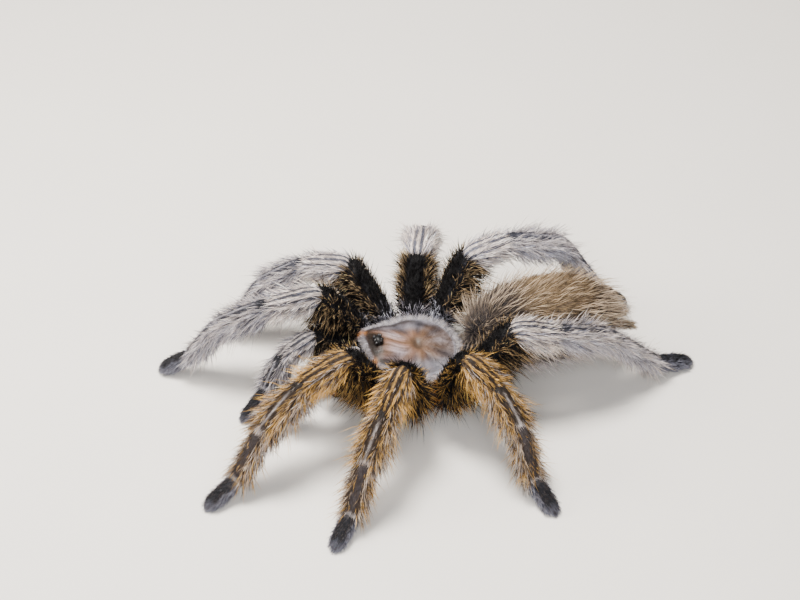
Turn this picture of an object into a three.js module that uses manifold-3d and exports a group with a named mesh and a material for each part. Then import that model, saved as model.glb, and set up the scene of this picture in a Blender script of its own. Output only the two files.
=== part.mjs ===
/**
 * A tarantula, life size: an adult female of the Chilean rose kind, standing with its legs spread.
 *
 * Millimetres. The head faces -Y, the spider's left side is +X and up is +Z. Each solid reaches out to
 * the tips of the coat that grows on it, so every outline is the skin plus the coat.
 */
import * as THREE from 'three';
import { mergeVertices } from 'three/addons/utils/BufferGeometryUtils.js';
import Module from 'manifold-3d';

const wasm = await Module();
wasm.setup();

// ---------------------------------------------------------------------------------------------
// Driving dimensions
// ---------------------------------------------------------------------------------------------

const JOINT_GAP = 0.3;          // between two solids that meet
const LEFT = 1;
const RIGHT = -1;
const SIDE_NAMES = { [LEFT]: 'left', [RIGHT]: 'right' };

const HIP_HEIGHT = 8.6;         // where each leg leaves its coxa
const PALP_HIP_HEIGHT = 7.1;
const FOOT_TIP_HEIGHT = 0.85;   // axis of each foot at its tip: its pad is pressed flat on the floor
const COXA_ROOT_HEIGHT = 5.8;   // inner ends of the coxae, at the edge of the sternum
const COXA_ROOT_REACH = 0.42;   // how far out those ends lie, as a share of the way to the hip

const RIM_UNDERSIDE = 9.6;      // underside of the carapace's edge
const RIM_TOP = 10.8;
const THORAX_TOP = 12.2;
const HEAD_BULGE = 1.9;         // how much the head stands over the thorax
const HEAD_CLIMB = { height: 2, from: 2, to: 10 };  // how the shell's edge climbs, that far ahead of its middle
const FOVEA = { behind: 1, depth: 0.7 };

const EYE_MOUND = { ahead: 8, halfWidth: 1.55, halfLength: 1.2, height: 1.5, sink: 0.3, eyeRadius: 0.42 };
// Each pair of eyes: out, ahead and up, as shares of the mound's half width, half length and height.
const EYE_PLACES = [[0.38, 0.62, 0.7], [0.72, 0.5, 0.45], [0.68, -0.35, 0.65], [0.4, -0.55, 0.8]];
// The jaws, with their half width and their reach above and below their middle line, from base to tip.
const CHELICERA = {
  out: 2.28,
  base: 11.5,
  length: 8.2,
  baseHeight: 9.2,
  tipHeight: 7,
  halfWidths: [2, 2.1, 2.1, 2.05, 1.9, 1.5],
  rises: [2.8, 3.6, 3.8, 3.6, 2.9, 1.5],
  drops: [3, 3.2, 3.2, 3, 2.6, 1.8],
};
const FANG = { thickness: 0.8, tipThickness: 0.3, root: [-18.8, 4.6], bend: [-19.2, 2], tip: [-13.9, 3.2] };
const ABDOMEN = { centre: 30.2, front: 18.9, back: 18.8, halfWidth: 13.2, height: 12.5, rise: 12.6, drop: 10.8 };
const ABDOMEN_REAR_FULLNESS = 0.12;
const ABDOMEN_FRONT_BLUNTNESS = 0.82;  // 1 for a plain egg, less for a blunter front
const SPINNERET = { out: 1.9, length: 4.6, radius: 1.15, height: 9, climb: -12, splay: 10 };
const STERNUM = { halfWidth: 7.2, halfLength: 9.4, height: 6.4, rise: 2.6, drop: 2.8 };
const LABIUM = { ahead: 9.2, halfWidth: 2.6, halfLength: 2, height: 6.4, halfHeight: 2.2 };
const PEDICEL = { radius: 1.8, from: 6, to: 13.4, height: 7.4 };

// Each pair of limbs: where its hips lie, ahead of the carapace's middle and out from the midline, the
// lengths of its segments from the hip to the foot, and its girth beside that of the front legs.
const LIMB_PAIRS = {
  palp: { ahead: 11.5, out: 7, lengths: [12.7, 7.8, 8.4, 8.6], girth: 0.8 },
  leg_1: { ahead: 8.8, out: 11, lengths: [17, 11, 13.4, 11.5, 8.4], girth: 1 },
  leg_2: { ahead: 3, out: 13.2, lengths: [16, 9.9, 11.3, 11.4, 7.9], girth: 1 },
  leg_3: { ahead: -3.5, out: 13.2, lengths: [13.7, 9, 9.6, 12, 8.1], girth: 1 },
  leg_4: { ahead: -9.5, out: 11, lengths: [16.6, 9.8, 13.6, 17.6, 9.2], girth: 1.02 },
};

// The stance of each limb, in degrees: the headings of its femur and of its foot, from straight ahead
// towards its own side, and how steeply each segment climbs. The foot then reaches down to the floor.
const STANCE = [
  { pair: 'palp', side: LEFT, femurHeading: 3, footHeading: -8, climbs: [56, -27, -69] },
  { pair: 'palp', side: RIGHT, femurHeading: -11, footHeading: -26, climbs: [38, -18, -54] },
  { pair: 'leg_1', side: LEFT, femurHeading: 11, footHeading: 25, climbs: [57, -15, -31, -54] },
  { pair: 'leg_1', side: RIGHT, femurHeading: -7, footHeading: 20, climbs: [54, -6, -28, -54] },
  { pair: 'leg_2', side: LEFT, femurHeading: 54, footHeading: 49, climbs: [61, -22, -37, -51] },
  { pair: 'leg_2', side: RIGHT, femurHeading: 38, footHeading: 13, climbs: [56, -11, -27, -57] },
  { pair: 'leg_3', side: LEFT, femurHeading: 125, footHeading: 108, climbs: [65, -15, -28, -60] },
  { pair: 'leg_3', side: RIGHT, femurHeading: 113, footHeading: 107, climbs: [60, -2, -48, -58] },
  { pair: 'leg_4', side: LEFT, femurHeading: 169, footHeading: 187, climbs: [56, -13, -20, -43] },
  { pair: 'leg_4', side: RIGHT, femurHeading: 166, footHeading: 181, climbs: [67, 6, -13, -58] },
];
const PATELLA_TURN = 0.3;       // share of the turn from the femur's heading to the foot's

const LEG_SEGMENTS = ['femur', 'patella', 'tibia', 'metatarsus', 'tarsus'];
const PALP_SEGMENTS = ['femur', 'patella', 'tibia', 'tarsus'];

// Skin radius of each segment at five even stations, and how far its coat stands out to the side,
// above and below. The femur carries its longest hairs underneath, the tibia along its sides.
const SEGMENT_SHAPES = {
  coxa: { skin: [2.2, 2.6, 2.3], coat: { side: 0.3, above: -0.7, below: 0.3 } },
  femur: { skin: [2, 2.3, 2.5, 2.4, 2.2], coat: { side: 2, above: 1.4, below: 4.6 } },
  patella: { skin: [2.2, 2.5, 2.5, 2.4, 2.2], coat: { side: 2.1, above: 1.5, below: 1.9 } },
  tibia: { skin: [2.1, 2.3, 2.3, 2.1, 2], coat: { side: 2.5, above: 1.5, below: 2.3 } },
  metatarsus: { skin: [1.9, 1.85, 1.8, 1.7, 1.7], coat: { side: 2.1, above: 1.2, below: 1.7 } },
  tarsus: { skin: [1.6, 1.7, 1.7, 1.6, 1], coat: { side: 1.1, above: 0.7, below: 0.6 } },
};
const COAT_SWELL = [0.35, 0.85, 1, 1, 0.75];

// How finely each kind of solid is faceted: sides around it, then steps along it.
const RING_SIDES = 10;
const DISC_SIDES = 28;
const FANG_FACETS = [8, 6];
const ABDOMEN_FACETS = [22, 14];
const STERNUM_FACETS = [16, 8];
const LABIUM_FACETS = [10, 6];
const MOUND_FACETS = [12, 6];
const EYE_FACETS = [6, 4];
const SPINNERET_FACETS = [3, 8];

const COLOURS = {
  coxa: 0x6b5a4c,
  femur: 0x2a2119,
  patella: 0x9c8462,
  tibia: 0x8c7657,
  metatarsus: 0x7b7065,
  tarsus: 0x3f4148,
  carapace: 0xa98a7c,
  abdomen: 0x7c6650,
  chelicera: 0xb9a796,
  fang: 0x0d0b0b,
  eyes: 0x15120f,
};
const HAIRY = { roughness: 0.9, metalness: 0 };
const HORNY = { roughness: 0.25, metalness: 0 };

// ---------------------------------------------------------------------------------------------
// Solids: joining, cutting and keeping clear
// ---------------------------------------------------------------------------------------------

/** The geometry with only its positions, and one vertex where several lay together. */
function welded(geometry) {
  const bare = geometry.clone();
  bare.deleteAttribute('normal');
  bare.deleteAttribute('uv');
  return mergeVertices(bare, 1e-4);
}

function toManifold(geometry) {
  const bare = welded(geometry);
  return new wasm.Manifold(new wasm.Mesh({
    numProp: 3,
    vertProperties: new Float32Array(bare.attributes.position.array),
    triVerts: new Uint32Array(bare.index.array),
  }));
}

function fromManifold(solid) {
  const mesh = solid.getMesh();
  const geometry = new THREE.BufferGeometry();
  geometry.setAttribute('position', new THREE.BufferAttribute(mesh.vertProperties, 3));
  geometry.setIndex(new THREE.BufferAttribute(mesh.triVerts, 1));
  return geometry;
}

function joined(geometries) {
  return fromManifold(geometries.map(toManifold).reduce((whole, piece) => whole.add(piece)));
}

/** The geometry with its surface moved out by about the joint gap. */
function grown(geometry) {
  const CORNER_ALLOWANCE = 1.45;
  const out = welded(geometry);
  out.computeVertexNormals();
  const { position, normal } = out.attributes;
  const vertex = new THREE.Vector3();
  const outward = new THREE.Vector3();
  for (let i = 0; i < position.count; i += 1) {
    vertex.fromBufferAttribute(position, i);
    outward.fromBufferAttribute(normal, i);
    vertex.addScaledVector(outward, JOINT_GAP * CORNER_ALLOWANCE);
    position.setXYZ(i, ...vertex);
  }
  return out;
}

/** The geometry cut back so that it keeps a joint gap to each of the others. */
function clearOf(geometry, others) {
  const cut = others.reduce((left, other) => left.subtract(toManifold(grown(other))), toManifold(geometry));
  return fromManifold(cut);
}

/** Moves every vertex of a geometry to where place(vertex) puts it. */
function reshaped(geometry, place) {
  const out = welded(geometry);
  const { position } = out.attributes;
  const vertex = new THREE.Vector3();
  for (let i = 0; i < position.count; i += 1) {
    vertex.fromBufferAttribute(position, i);
    position.setXYZ(i, ...place(vertex));
  }
  return out;
}

// ---------------------------------------------------------------------------------------------
// Limbs
// ---------------------------------------------------------------------------------------------

/** A unit vector at a heading from straight ahead towards one side, climbing by an angle. */
function direction(heading, climb, side) {
  const turn = THREE.MathUtils.degToRad(heading);
  const lift = THREE.MathUtils.degToRad(climb);
  return new THREE.Vector3(
    side * Math.sin(turn) * Math.cos(lift),
    -Math.cos(turn) * Math.cos(lift),
    Math.sin(lift),
  );
}

/** The joints of one limb, from the inner end of its coxa to the tip of its foot. */
function limbJoints({ pair, side, femurHeading, footHeading, climbs }) {
  const { ahead, out, lengths } = LIMB_PAIRS[pair];
  const hipHeight = pair === 'palp' ? PALP_HIP_HEIGHT : HIP_HEIGHT;
  const hip = new THREE.Vector3(side * out, -ahead, hipHeight);
  const root = new THREE.Vector3(hip.x * COXA_ROOT_REACH, hip.y * COXA_ROOT_REACH, COXA_ROOT_HEIGHT);
  const joints = [root, hip];
  lengths.forEach((length, index) => {
    const last = joints[joints.length - 1];
    const share = [0, PATELLA_TURN][index] ?? 1;
    const heading = THREE.MathUtils.lerp(femurHeading, footHeading, share);
    const fall = Math.asin((FOOT_TIP_HEIGHT - last.z) / length);
    const climb = climbs[index] ?? THREE.MathUtils.radToDeg(fall);
    joints.push(last.clone().addScaledVector(direction(heading, climb, side), length));
  });
  return joints;
}

/** The shortest way from a point to the middle line of a limb, outside its coxa. */
function distanceToLimb(point, limb) {
  const nearest = new THREE.Vector3();
  let shortest = Infinity;
  for (let i = 2; i < limb.joints.length; i += 1) {
    new THREE.Line3(limb.joints[i - 1], limb.joints[i]).closestPointToPoint(point, true, nearest);
    shortest = Math.min(shortest, nearest.distanceTo(point));
  }
  return shortest;
}

/** How thick a limb may be at a point: where two run close, their coats share the space by girth. */
function roomAt(point, limb, neighbours) {
  const FACET_MARGIN = 0.05;
  const rooms = neighbours.map((other) => (
    distanceToLimb(point, other) * limb.girth / (limb.girth + other.girth) - JOINT_GAP / 2 - FACET_MARGIN
  ));
  return Math.min(...rooms);
}

/** How much an end is drawn in, so that a sharply bent joint stays round instead of pointed. */
function kneeRounding(axis, planeNormal) {
  return axis.dot(planeNormal) ** 1.5;
}

/**
 * One segment of a limb, coat and all: a tapering tube whose ends lie in the planes that halve the
 * bends at its two joints, and which leaves room for the limbs beside it.
 */
function segmentGeometry(limb, index, shape, neighbours) {
  const { joints, girth } = limb;
  const from = joints[index];
  const to = joints[index + 1];
  const length = from.distanceTo(to);
  const axis = to.clone().sub(from).normalize();
  const across = new THREE.Vector3().crossVectors(axis, new THREE.Vector3(0, 0, 1)).normalize();
  const up = new THREE.Vector3().crossVectors(across, axis);
  const endPlane = (near, far) => {
    if (!near || !far) return axis.clone();
    return far.clone().sub(near).normalize().add(axis).normalize();
  };
  const startNormal = endPlane(joints[index - 1], joints[index - 1] && from);
  const endNormal = endPlane(joints[index + 2] && to, joints[index + 2]);

  const stations = shape.skin.length - 1;
  const room = shape.skin.map((_, station) => (
    roomAt(from.clone().lerp(to, station / stations), limb, neighbours)
  ));
  const unitTube = new THREE.CylinderGeometry(1, 1, 1, RING_SIDES, stations);
  return reshaped(unitTube, (vertex) => {
    const share = vertex.y + 0.5;
    const station = Math.round(share * stations);
    const skin = shape.skin[station] * girth;
    const swell = COAT_SWELL[Math.round(share * (COAT_SWELL.length - 1))];
    const coatAlong = vertex.z > 0 ? shape.coat.above : shape.coat.below;
    const halfWidth = Math.min(skin + shape.coat.side * swell, room[station]);
    const height = Math.min(skin + coatAlong * swell, room[station]);
    const offset = across.clone().multiplyScalar(vertex.x * halfWidth)
      .addScaledVector(up, vertex.z * height);
    if (station === 0) offset.multiplyScalar(kneeRounding(axis, startNormal));
    if (station === stations) offset.multiplyScalar(kneeRounding(axis, endNormal));
    const start = JOINT_GAP / 2 - offset.dot(startNormal) / axis.dot(startNormal);
    const end = length - JOINT_GAP / 2 - offset.dot(endNormal) / axis.dot(endNormal);
    const place = from.clone().add(offset).addScaledVector(axis, THREE.MathUtils.lerp(start, end, share));
    place.z = Math.max(place.z, 0);
    return place;
  });
}

// ---------------------------------------------------------------------------------------------
// Body
// ---------------------------------------------------------------------------------------------

/** The carapace's edge, seen from above: half of it runs back from the front, and is mirrored. */
function carapaceOutline() {
  const half = [[0, -11.1], [5.4, -10.8], [7.4, -8.3], [9.2, -4.2], [10.3, 0.3], [9.4, 5], [5.8, 8.8], [0, 10.1]];
  const ring = [
    ...half.map(([x, y]) => new THREE.Vector3(x, y, 0)),
    ...half.slice(1, -1).reverse().map(([x, y]) => new THREE.Vector3(-x, y, 0)),
  ];
  return new THREE.CatmullRomCurve3(ring, true);
}

/** A hill of height 1 over the point (0, y), falling off over the given widths. */
function hill(vertex, y, spreadX, spreadY) {
  return Math.exp(-((vertex.x / spreadX) ** 2) - (((vertex.y - y) / spreadY) ** 2));
}

/** Height of the carapace's upper face, with share running from 0 in the middle to 1 at its edge. */
function carapaceTop(point, share) {
  const dome = (THORAX_TOP - RIM_TOP) * (1 - share ** 2.4);
  const climb = HEAD_CLIMB.height * THREE.MathUtils.smoothstep(-point.y, HEAD_CLIMB.from, HEAD_CLIMB.to);
  const head = HEAD_BULGE * hill(point, -6.4, 5.4, 4.4);
  const pit = FOVEA.depth * hill(point, FOVEA.behind, 1.9, 1.1);
  return RIM_TOP + dome + climb + head - pit;
}

function carapaceGeometry() {
  const outline = carapaceOutline();
  const shares = [0.18, 0.4, 0.62, 0.82, 0.95, 1];
  const profile = [new THREE.Vector2(0, 0), new THREE.Vector2(1, 0)];
  [...shares].reverse().forEach((share) => profile.push(new THREE.Vector2(share, 1)));
  profile.push(new THREE.Vector2(0, 1));
  const disc = new THREE.LatheGeometry(profile, DISC_SIDES);
  return reshaped(disc, (vertex) => {
    const share = Math.hypot(vertex.x, vertex.z);
    const turn = (Math.atan2(vertex.x, vertex.z) / (2 * Math.PI) + 1) % 1;
    const point = outline.getPoint(turn).multiplyScalar(share);
    point.z = vertex.y > 0.5 ? carapaceTop(point, share) : RIM_UNDERSIDE;
    return point;
  });
}

/** The foot of the eye mound: a point a little inside the top of the head. */
function eyeMoundFoot() {
  const foot = new THREE.Vector3(0, -EYE_MOUND.ahead, 0);
  const share = EYE_MOUND.ahead / -carapaceOutline().getPoint(0).y;
  foot.z = carapaceTop(foot, share) - EYE_MOUND.sink;
  return foot;
}

/** The body of the eye mound, grown on every side by an allowance. */
function moundBall(allowance) {
  const { halfWidth, halfLength, height } = EYE_MOUND;
  const ball = new THREE.SphereGeometry(1, ...MOUND_FACETS);
  ball.rotateX(Math.PI / 2);
  ball.scale(halfWidth + allowance, halfLength + allowance, height + allowance);
  ball.translate(...eyeMoundFoot());
  return ball;
}

/** The low mound that carries the eight eyes, in two rows of four. */
function eyeMoundGeometry() {
  const { halfWidth, halfLength, height, eyeRadius } = EYE_MOUND;
  const foot = eyeMoundFoot();
  const eyes = [LEFT, RIGHT].flatMap((side) => EYE_PLACES.map(([out, ahead, lift]) => {
    const eye = new THREE.SphereGeometry(eyeRadius, ...EYE_FACETS);
    return eye.translate(side * out * halfWidth, foot.y - ahead * halfLength, foot.z + lift * height);
  }));
  return joined([moundBall(0), ...eyes]);
}

/** The carapace with a socket for the eye mound. */
function socketedCarapace() {
  const socket = moundBall(JOINT_GAP + EYE_MOUND.eyeRadius / 2);
  return fromManifold(toManifold(carapaceGeometry()).subtract(toManifold(socket)));
}

/** Sternum, coxae, mouthparts and pedicel: all of the underside that the carapace covers. */
function undersideGeometry(limbs) {
  const ball = new THREE.SphereGeometry(1, ...STERNUM_FACETS);
  ball.rotateX(Math.PI / 2);
  const sternum = reshaped(ball, (vertex) => new THREE.Vector3(
    vertex.x * STERNUM.halfWidth,
    vertex.y * STERNUM.halfLength,
    STERNUM.height + vertex.z * (vertex.z > 0 ? STERNUM.rise : STERNUM.drop),
  ));
  const labium = new THREE.SphereGeometry(1, ...LABIUM_FACETS);
  labium.scale(LABIUM.halfWidth, LABIUM.halfLength, LABIUM.halfHeight);
  labium.translate(0, -LABIUM.ahead, LABIUM.height);
  const pedicel = new THREE.CylinderGeometry(PEDICEL.radius, PEDICEL.radius, PEDICEL.to - PEDICEL.from, RING_SIDES);
  pedicel.translate(0, (PEDICEL.from + PEDICEL.to) / 2, PEDICEL.height);
  const coxae = limbs.map((limb) => segmentGeometry(limb, 0, SEGMENT_SHAPES.coxa, []));
  return joined([sternum, labium, pedicel, ...coxae]);
}

/** One jaw: a deep, arched block that reaches forward from under the front of the carapace. */
function cheliceraGeometry(side) {
  const { out, base, length, baseHeight, tipHeight, halfWidths, rises, drops } = CHELICERA;
  const stations = rises.length - 1;
  const tube = new THREE.CylinderGeometry(1, 1, 1, RING_SIDES, stations);
  return reshaped(tube, (vertex) => {
    const share = 0.5 - vertex.y;
    const station = Math.round(share * stations);
    const height = vertex.z > 0 ? rises[station] : drops[station];
    return new THREE.Vector3(
      side * out + vertex.x * halfWidths[station],
      -base - share * length,
      THREE.MathUtils.lerp(baseHeight, tipHeight, share) + vertex.z * height,
    );
  });
}

/** One fang: a curved claw that folds back under its jaw, drawn in the plane of that jaw. */
function fangGeometry(side) {
  const [root, bend, tip] = [FANG.root, FANG.bend, FANG.tip].map(([y, z]) => (
    new THREE.Vector3(side * CHELICERA.out, y, z)
  ));
  const curve = new THREE.QuadraticBezierCurve3(root, bend, tip);
  const across = new THREE.Vector3(1, 0, 0);
  return reshaped(new THREE.CylinderGeometry(1, 1, 1, ...FANG_FACETS), (vertex) => {
    const share = vertex.y + 0.5;
    const thickness = THREE.MathUtils.lerp(FANG.thickness, FANG.tipThickness, share);
    const up = new THREE.Vector3().crossVectors(across, curve.getTangent(share));
    return curve.getPoint(share)
      .addScaledVector(across, vertex.x * thickness)
      .addScaledVector(up, vertex.z * thickness);
  });
}

/** The abdomen, an egg that is widest a little behind its middle. */
function abdomenGeometry() {
  const { centre, front, back, halfWidth, height, rise, drop } = ABDOMEN;
  const ball = new THREE.SphereGeometry(1, ...ABDOMEN_FACETS);
  ball.rotateX(Math.PI / 2);
  return reshaped(ball, (vertex) => {
    const fullness = 1 + ABDOMEN_REAR_FULLNESS * vertex.y * (1 - vertex.y ** 2);
    const ahead = -((-vertex.y) ** ABDOMEN_FRONT_BLUNTNESS) * front;
    return new THREE.Vector3(
      vertex.x * halfWidth * fullness,
      centre + (vertex.y > 0 ? vertex.y * back : ahead),
      height + vertex.z * (vertex.z > 0 ? rise : drop),
    );
  });
}

/** One of the two long spinnerets, a tapering finger at the end of the abdomen. */
function spinneretGeometry(side) {
  const { out, length, radius, height, climb, splay } = SPINNERET;
  const finger = new THREE.CapsuleGeometry(radius, length, ...SPINNERET_FACETS);
  finger.scale(1, 1, 0.9);
  const along = direction(180 - splay, climb, side);
  finger.applyQuaternion(new THREE.Quaternion().setFromUnitVectors(new THREE.Vector3(0, 1, 0), along));
  finger.translate(side * out, ABDOMEN.centre + ABDOMEN.back, height);
  return finger;
}

// ---------------------------------------------------------------------------------------------
// The whole spider
// ---------------------------------------------------------------------------------------------

const tarantula = new THREE.Group();

function addNode(name, geometry, colour, finish) {
  const mesh = new THREE.Mesh(geometry, new THREE.MeshStandardMaterial({ color: colour, ...finish }));
  mesh.name = name;
  tarantula.add(mesh);
}

const limbs = STANCE.map((stance) => ({
  name: stance.pair.replace(/^(palp|leg)/, `$1_${SIDE_NAMES[stance.side]}`),
  segments: stance.pair === 'palp' ? PALP_SEGMENTS : LEG_SEGMENTS,
  girth: LIMB_PAIRS[stance.pair].girth,
  joints: limbJoints(stance),
}));

const limbSolids = {};
for (const limb of limbs) {
  const neighbours = limbs.filter((other) => other !== limb);
  limb.segments.forEach((segment, index) => {
    const geometry = segmentGeometry(limb, index + 1, SEGMENT_SHAPES[segment], neighbours);
    limbSolids[`${limb.name}_${segment}`] = geometry;
    addNode(`${limb.name}_${segment}`, geometry, COLOURS[segment], HAIRY);
  });
}

/** The solids of the limbs whose names match a pattern. */
function limbsLike(pattern) {
  return Object.keys(limbSolids).filter((name) => pattern.test(name)).map((name) => limbSolids[name]);
}

const abdomen = abdomenGeometry();
addNode('eye_mound', eyeMoundGeometry(), COLOURS.eyes, HORNY);
addNode('carapace', socketedCarapace(), COLOURS.carapace, HAIRY);
addNode('underside', clearOf(undersideGeometry(limbs), [abdomen]), COLOURS.coxa, HAIRY);
addNode('abdomen', clearOf(abdomen, limbsLike(/^leg_.*_4_/)), COLOURS.abdomen, HAIRY);
for (const side of [LEFT, RIGHT]) {
  const sideName = SIDE_NAMES[side];
  const jaw = clearOf(cheliceraGeometry(side), limbsLike(/^palp_.*_femur$/));
  addNode(`chelicera_${sideName}`, jaw, COLOURS.chelicera, HAIRY);
  addNode(`fang_${sideName}`, fangGeometry(side), COLOURS.fang, HORNY);
  addNode(`spinneret_${sideName}`, clearOf(spinneretGeometry(side), [abdomen]), COLOURS.abdomen, HAIRY);
}

// The origin lies on the floor, under the middle of the whole spider.
const extent = new THREE.Box3().setFromObject(tarantula);
const middle = extent.getCenter(new THREE.Vector3());
tarantula.position.set(-middle.x, -middle.y, -extent.min.z);

export default tarantula;
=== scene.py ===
"""A still, life-size tarantula: skin, shell, jaws, eyes, claws and coat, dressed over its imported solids.

Lengths inside the functions are in millimetres, in the body's own frame: the middle of the shell at
x = y = 0, the floor at z = 0, ahead towards -Y and the spider's left towards +X. placed() turns them
into metres in the frame of the solids.
"""

import math

import bpy
import numpy as np
from bpy.props import FloatProperty, FloatVectorProperty, IntProperty, PointerProperty
from bpy.types import Operator, Panel, PropertyGroup
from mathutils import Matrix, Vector
from mathutils.kdtree import KDTree


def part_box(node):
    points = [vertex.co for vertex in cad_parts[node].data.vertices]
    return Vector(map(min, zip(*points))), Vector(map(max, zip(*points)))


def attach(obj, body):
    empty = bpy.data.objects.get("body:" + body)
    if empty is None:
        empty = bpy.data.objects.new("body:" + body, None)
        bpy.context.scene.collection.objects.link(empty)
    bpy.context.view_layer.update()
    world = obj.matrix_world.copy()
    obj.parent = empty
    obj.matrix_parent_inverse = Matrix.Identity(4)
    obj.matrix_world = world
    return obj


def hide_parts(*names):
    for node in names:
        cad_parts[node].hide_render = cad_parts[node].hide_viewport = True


bl_info = {
    "name": "Tarantula",
    "version": (1, 0, 0),
    "blender": (4, 5, 0),
    "location": "3D View > Sidebar > Tarantula",
    "description": "Skin, shell, jaws, eyes, claws and coat of a still, life-size tarantula",
    "category": "Add Mesh",
}

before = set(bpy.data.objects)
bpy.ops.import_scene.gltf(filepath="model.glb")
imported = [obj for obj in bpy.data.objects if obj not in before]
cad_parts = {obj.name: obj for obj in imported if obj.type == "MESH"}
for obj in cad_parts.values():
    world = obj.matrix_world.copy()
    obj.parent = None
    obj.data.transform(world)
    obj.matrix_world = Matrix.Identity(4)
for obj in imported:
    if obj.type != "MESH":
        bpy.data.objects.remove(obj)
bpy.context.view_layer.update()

MM = 0.001
BAKE_MAP = "OFBake"
PATCH = 0.003  # width of one hair's patch on the bake map
MARKS = "Markings"
FLOOR_GAP = 0.03  # how far skin and hair stay above the floor
LOCKS = 4096  # how many locks of hair have random numbers of their own

# ------------------------------------------------------------------------------------------------
# Proportions: those of the solids, and how far the skin and the bare shell lie inside them
# ------------------------------------------------------------------------------------------------

SHELL_BOX_MIDDLE = -0.548  # y of the middle of the shell's box in the body's own frame
SIDES = {"left": 1, "right": -1}
SEGMENTS = ("coxa", "femur", "patella", "tibia", "metatarsus", "tarsus")
COXA, FEMUR, PATELLA, TIBIA, METATARSUS, TARSUS = range(6)

HIP_HEIGHT, PALP_HIP_HEIGHT, FOOT_TIP_HEIGHT = 8.6, 7.1, 0.85
COXA_ROOT_HEIGHT, COXA_ROOT_REACH = 5.8, 0.42
PATELLA_TURN = 0.3
STRIPES = 9  # light and dark stripes right round a knee
STRIPES_DRAW_IN, STRIPES_END = 0.25, 2.2  # how much they draw together, and the angle from the top they reach

# pair: how far ahead and out its hip is, its segments' lengths, and its girth
LIMB_PAIRS = {
    "palp": (11.5, 7, (12.7, 7.8, 8.4, 8.6), 0.8),
    "leg_1": (8.8, 11, (17, 11, 13.4, 11.5, 8.4), 1),
    "leg_2": (3, 13.2, (16, 9.9, 11.3, 11.4, 7.9), 1),
    "leg_3": (-3.5, 13.2, (13.7, 9, 9.6, 12, 8.1), 1),
    "leg_4": (-9.5, 11, (16.6, 9.8, 13.6, 17.6, 9.2), 1.02),
}
# heading of the femur and of the foot, from straight ahead towards the limb's own side, and the
# climb of every segment before the last, all in degrees, then how golden and how frosted its coat is.
# The golden hair is the spider's own, but how much of it each limb has is partly painted warm light,
# strongest on the first three left legs; the frost is a painted cool sheen, strongest on the rear
# right legs and the last left leg.
STANCE = {
    ("palp", "left"): (3, -8, (56, -27, -69), 0.15, 0),
    ("palp", "right"): (-11, -26, (38, -18, -54), 0.0, 0),
    ("leg_1", "left"): (11, 25, (57, -15, -31, -54), 0.85, 0),
    ("leg_1", "right"): (-7, 20, (54, -6, -28, -54), 0.22, 0.1),
    ("leg_2", "left"): (54, 49, (61, -22, -37, -51), 1.0, 0),
    ("leg_2", "right"): (38, 13, (56, -11, -27, -57), 0.12, 0.3),
    ("leg_3", "left"): (125, 108, (65, -15, -28, -60), 0.95, 0),
    ("leg_3", "right"): (113, 107, (60, -2, -48, -58), 0.3, 0.9),
    ("leg_4", "left"): (169, 187, (56, -13, -20, -43), 0.38, 0.7),
    ("leg_4", "right"): (166, 181, (67, 6, -13, -58), 0.15, 1),
}
# radius of the bare skin from one end of a segment to the other
SKIN_RADII = {
    COXA: (2.2, 2.4, 2.6, 2.5, 2.3),
    FEMUR: (2, 2.3, 2.5, 2.4, 2.2),
    PATELLA: (2.2, 2.5, 2.5, 2.4, 2.2),
    TIBIA: (2.1, 2.3, 2.3, 2.1, 2),
    METATARSUS: (1.9, 1.85, 1.8, 1.7, 1.7),
    TARSUS: (1.6, 1.7, 1.7, 1.6, 1.15),
}

RIM_UNDERSIDE, RIM_TOP, THORAX_TOP = 9.6, 10.8, 12.2
DOME_POWER = 2.4  # how flat the middle of the shell's dome is
HEAD_CLIMB = {"height": 2, "from": 2, "to": 10}
HEAD_BULGE = {"height": 1.9, "y": -6.4, "half_width": 5.4, "half_length": 4.4}
FOVEA = {"y": 1.0, "depth": 0.7, "half_width": 1.9, "half_length": 1.1}
GROOVE_DEPTH = 0.22
# bearing of the shell's grooves from straight ahead of the middle pit, in radians, and their width
GROOVES = ((0.62, 0.13), (1.2, 0.17), (1.85, 0.17), (2.5, 0.17))
SHELL_OUTLINE = ((0, -11.1), (5.4, -10.8), (7.4, -8.3), (9.2, -4.2), (10.3, 0.3), (9.4, 5), (5.8, 8.8),
                 (0, 10.1))
# patches of colour on the shell: a painted pale highlight on the head, dark before the eyes, orange at the
# front corners
PAINTED_HIGHLIGHT = {"x": 2.4, "half_width": 1.5, "y": -4, "half_length": 2.2}
MASK = {"x": 0, "half_width": 3.6, "y": -8.7, "half_length": 1.5}
CORNER = {"x": 5.0, "half_width": 0.8, "y": -10.2, "half_length": 0.7}
SHELL_TRIM = 0.95  # the bare plate ends at this share of the outline, and its fringe fills the rest

EYE_MOUND = {"ahead": 8, "half_width": 1.55, "half_length": 1.2, "height": 1.5, "sunk": 0.3}
MOUND_HALF = np.array([EYE_MOUND["half_width"], EYE_MOUND["half_length"], EYE_MOUND["height"]])
MOUND_BARE = 0.93  # the bare mound as a share of its solid
# out, ahead and lift of each pair of eyes as shares of the mound, and its radius
EYES = (
    (0.38, 0.62, 0.70, 0.42),
    (0.72, 0.50, 0.45, 0.42),
    (0.68, -0.35, 0.65, 0.38),
    (0.40, -0.55, 0.80, 0.34),
)

JAW = {"out": 2.28, "base": 11.5, "length": 8.2, "base_height": 9.2, "tip_height": 7.0}
JAW_HALF_WIDTHS = (2, 2.1, 2.1, 2.05, 1.9, 1.5)
JAW_RISES = (2.8, 3.6, 3.8, 3.6, 2.9, 1.5)
JAW_DROPS = (3, 3.2, 3.2, 3, 2.6, 1.8)
JAW_COAT = 0.8  # how far a jaw's skin lies inside its solid above and below; half of it at the sides
FANG_POINTS = ((-18.8, 4.6), (-19.2, 2.0), (-13.9, 3.2))  # y and z of its root, its bend and its tip
FANG_THICKNESS = (0.8, 0.22)  # radius at its root and at its tip

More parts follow.
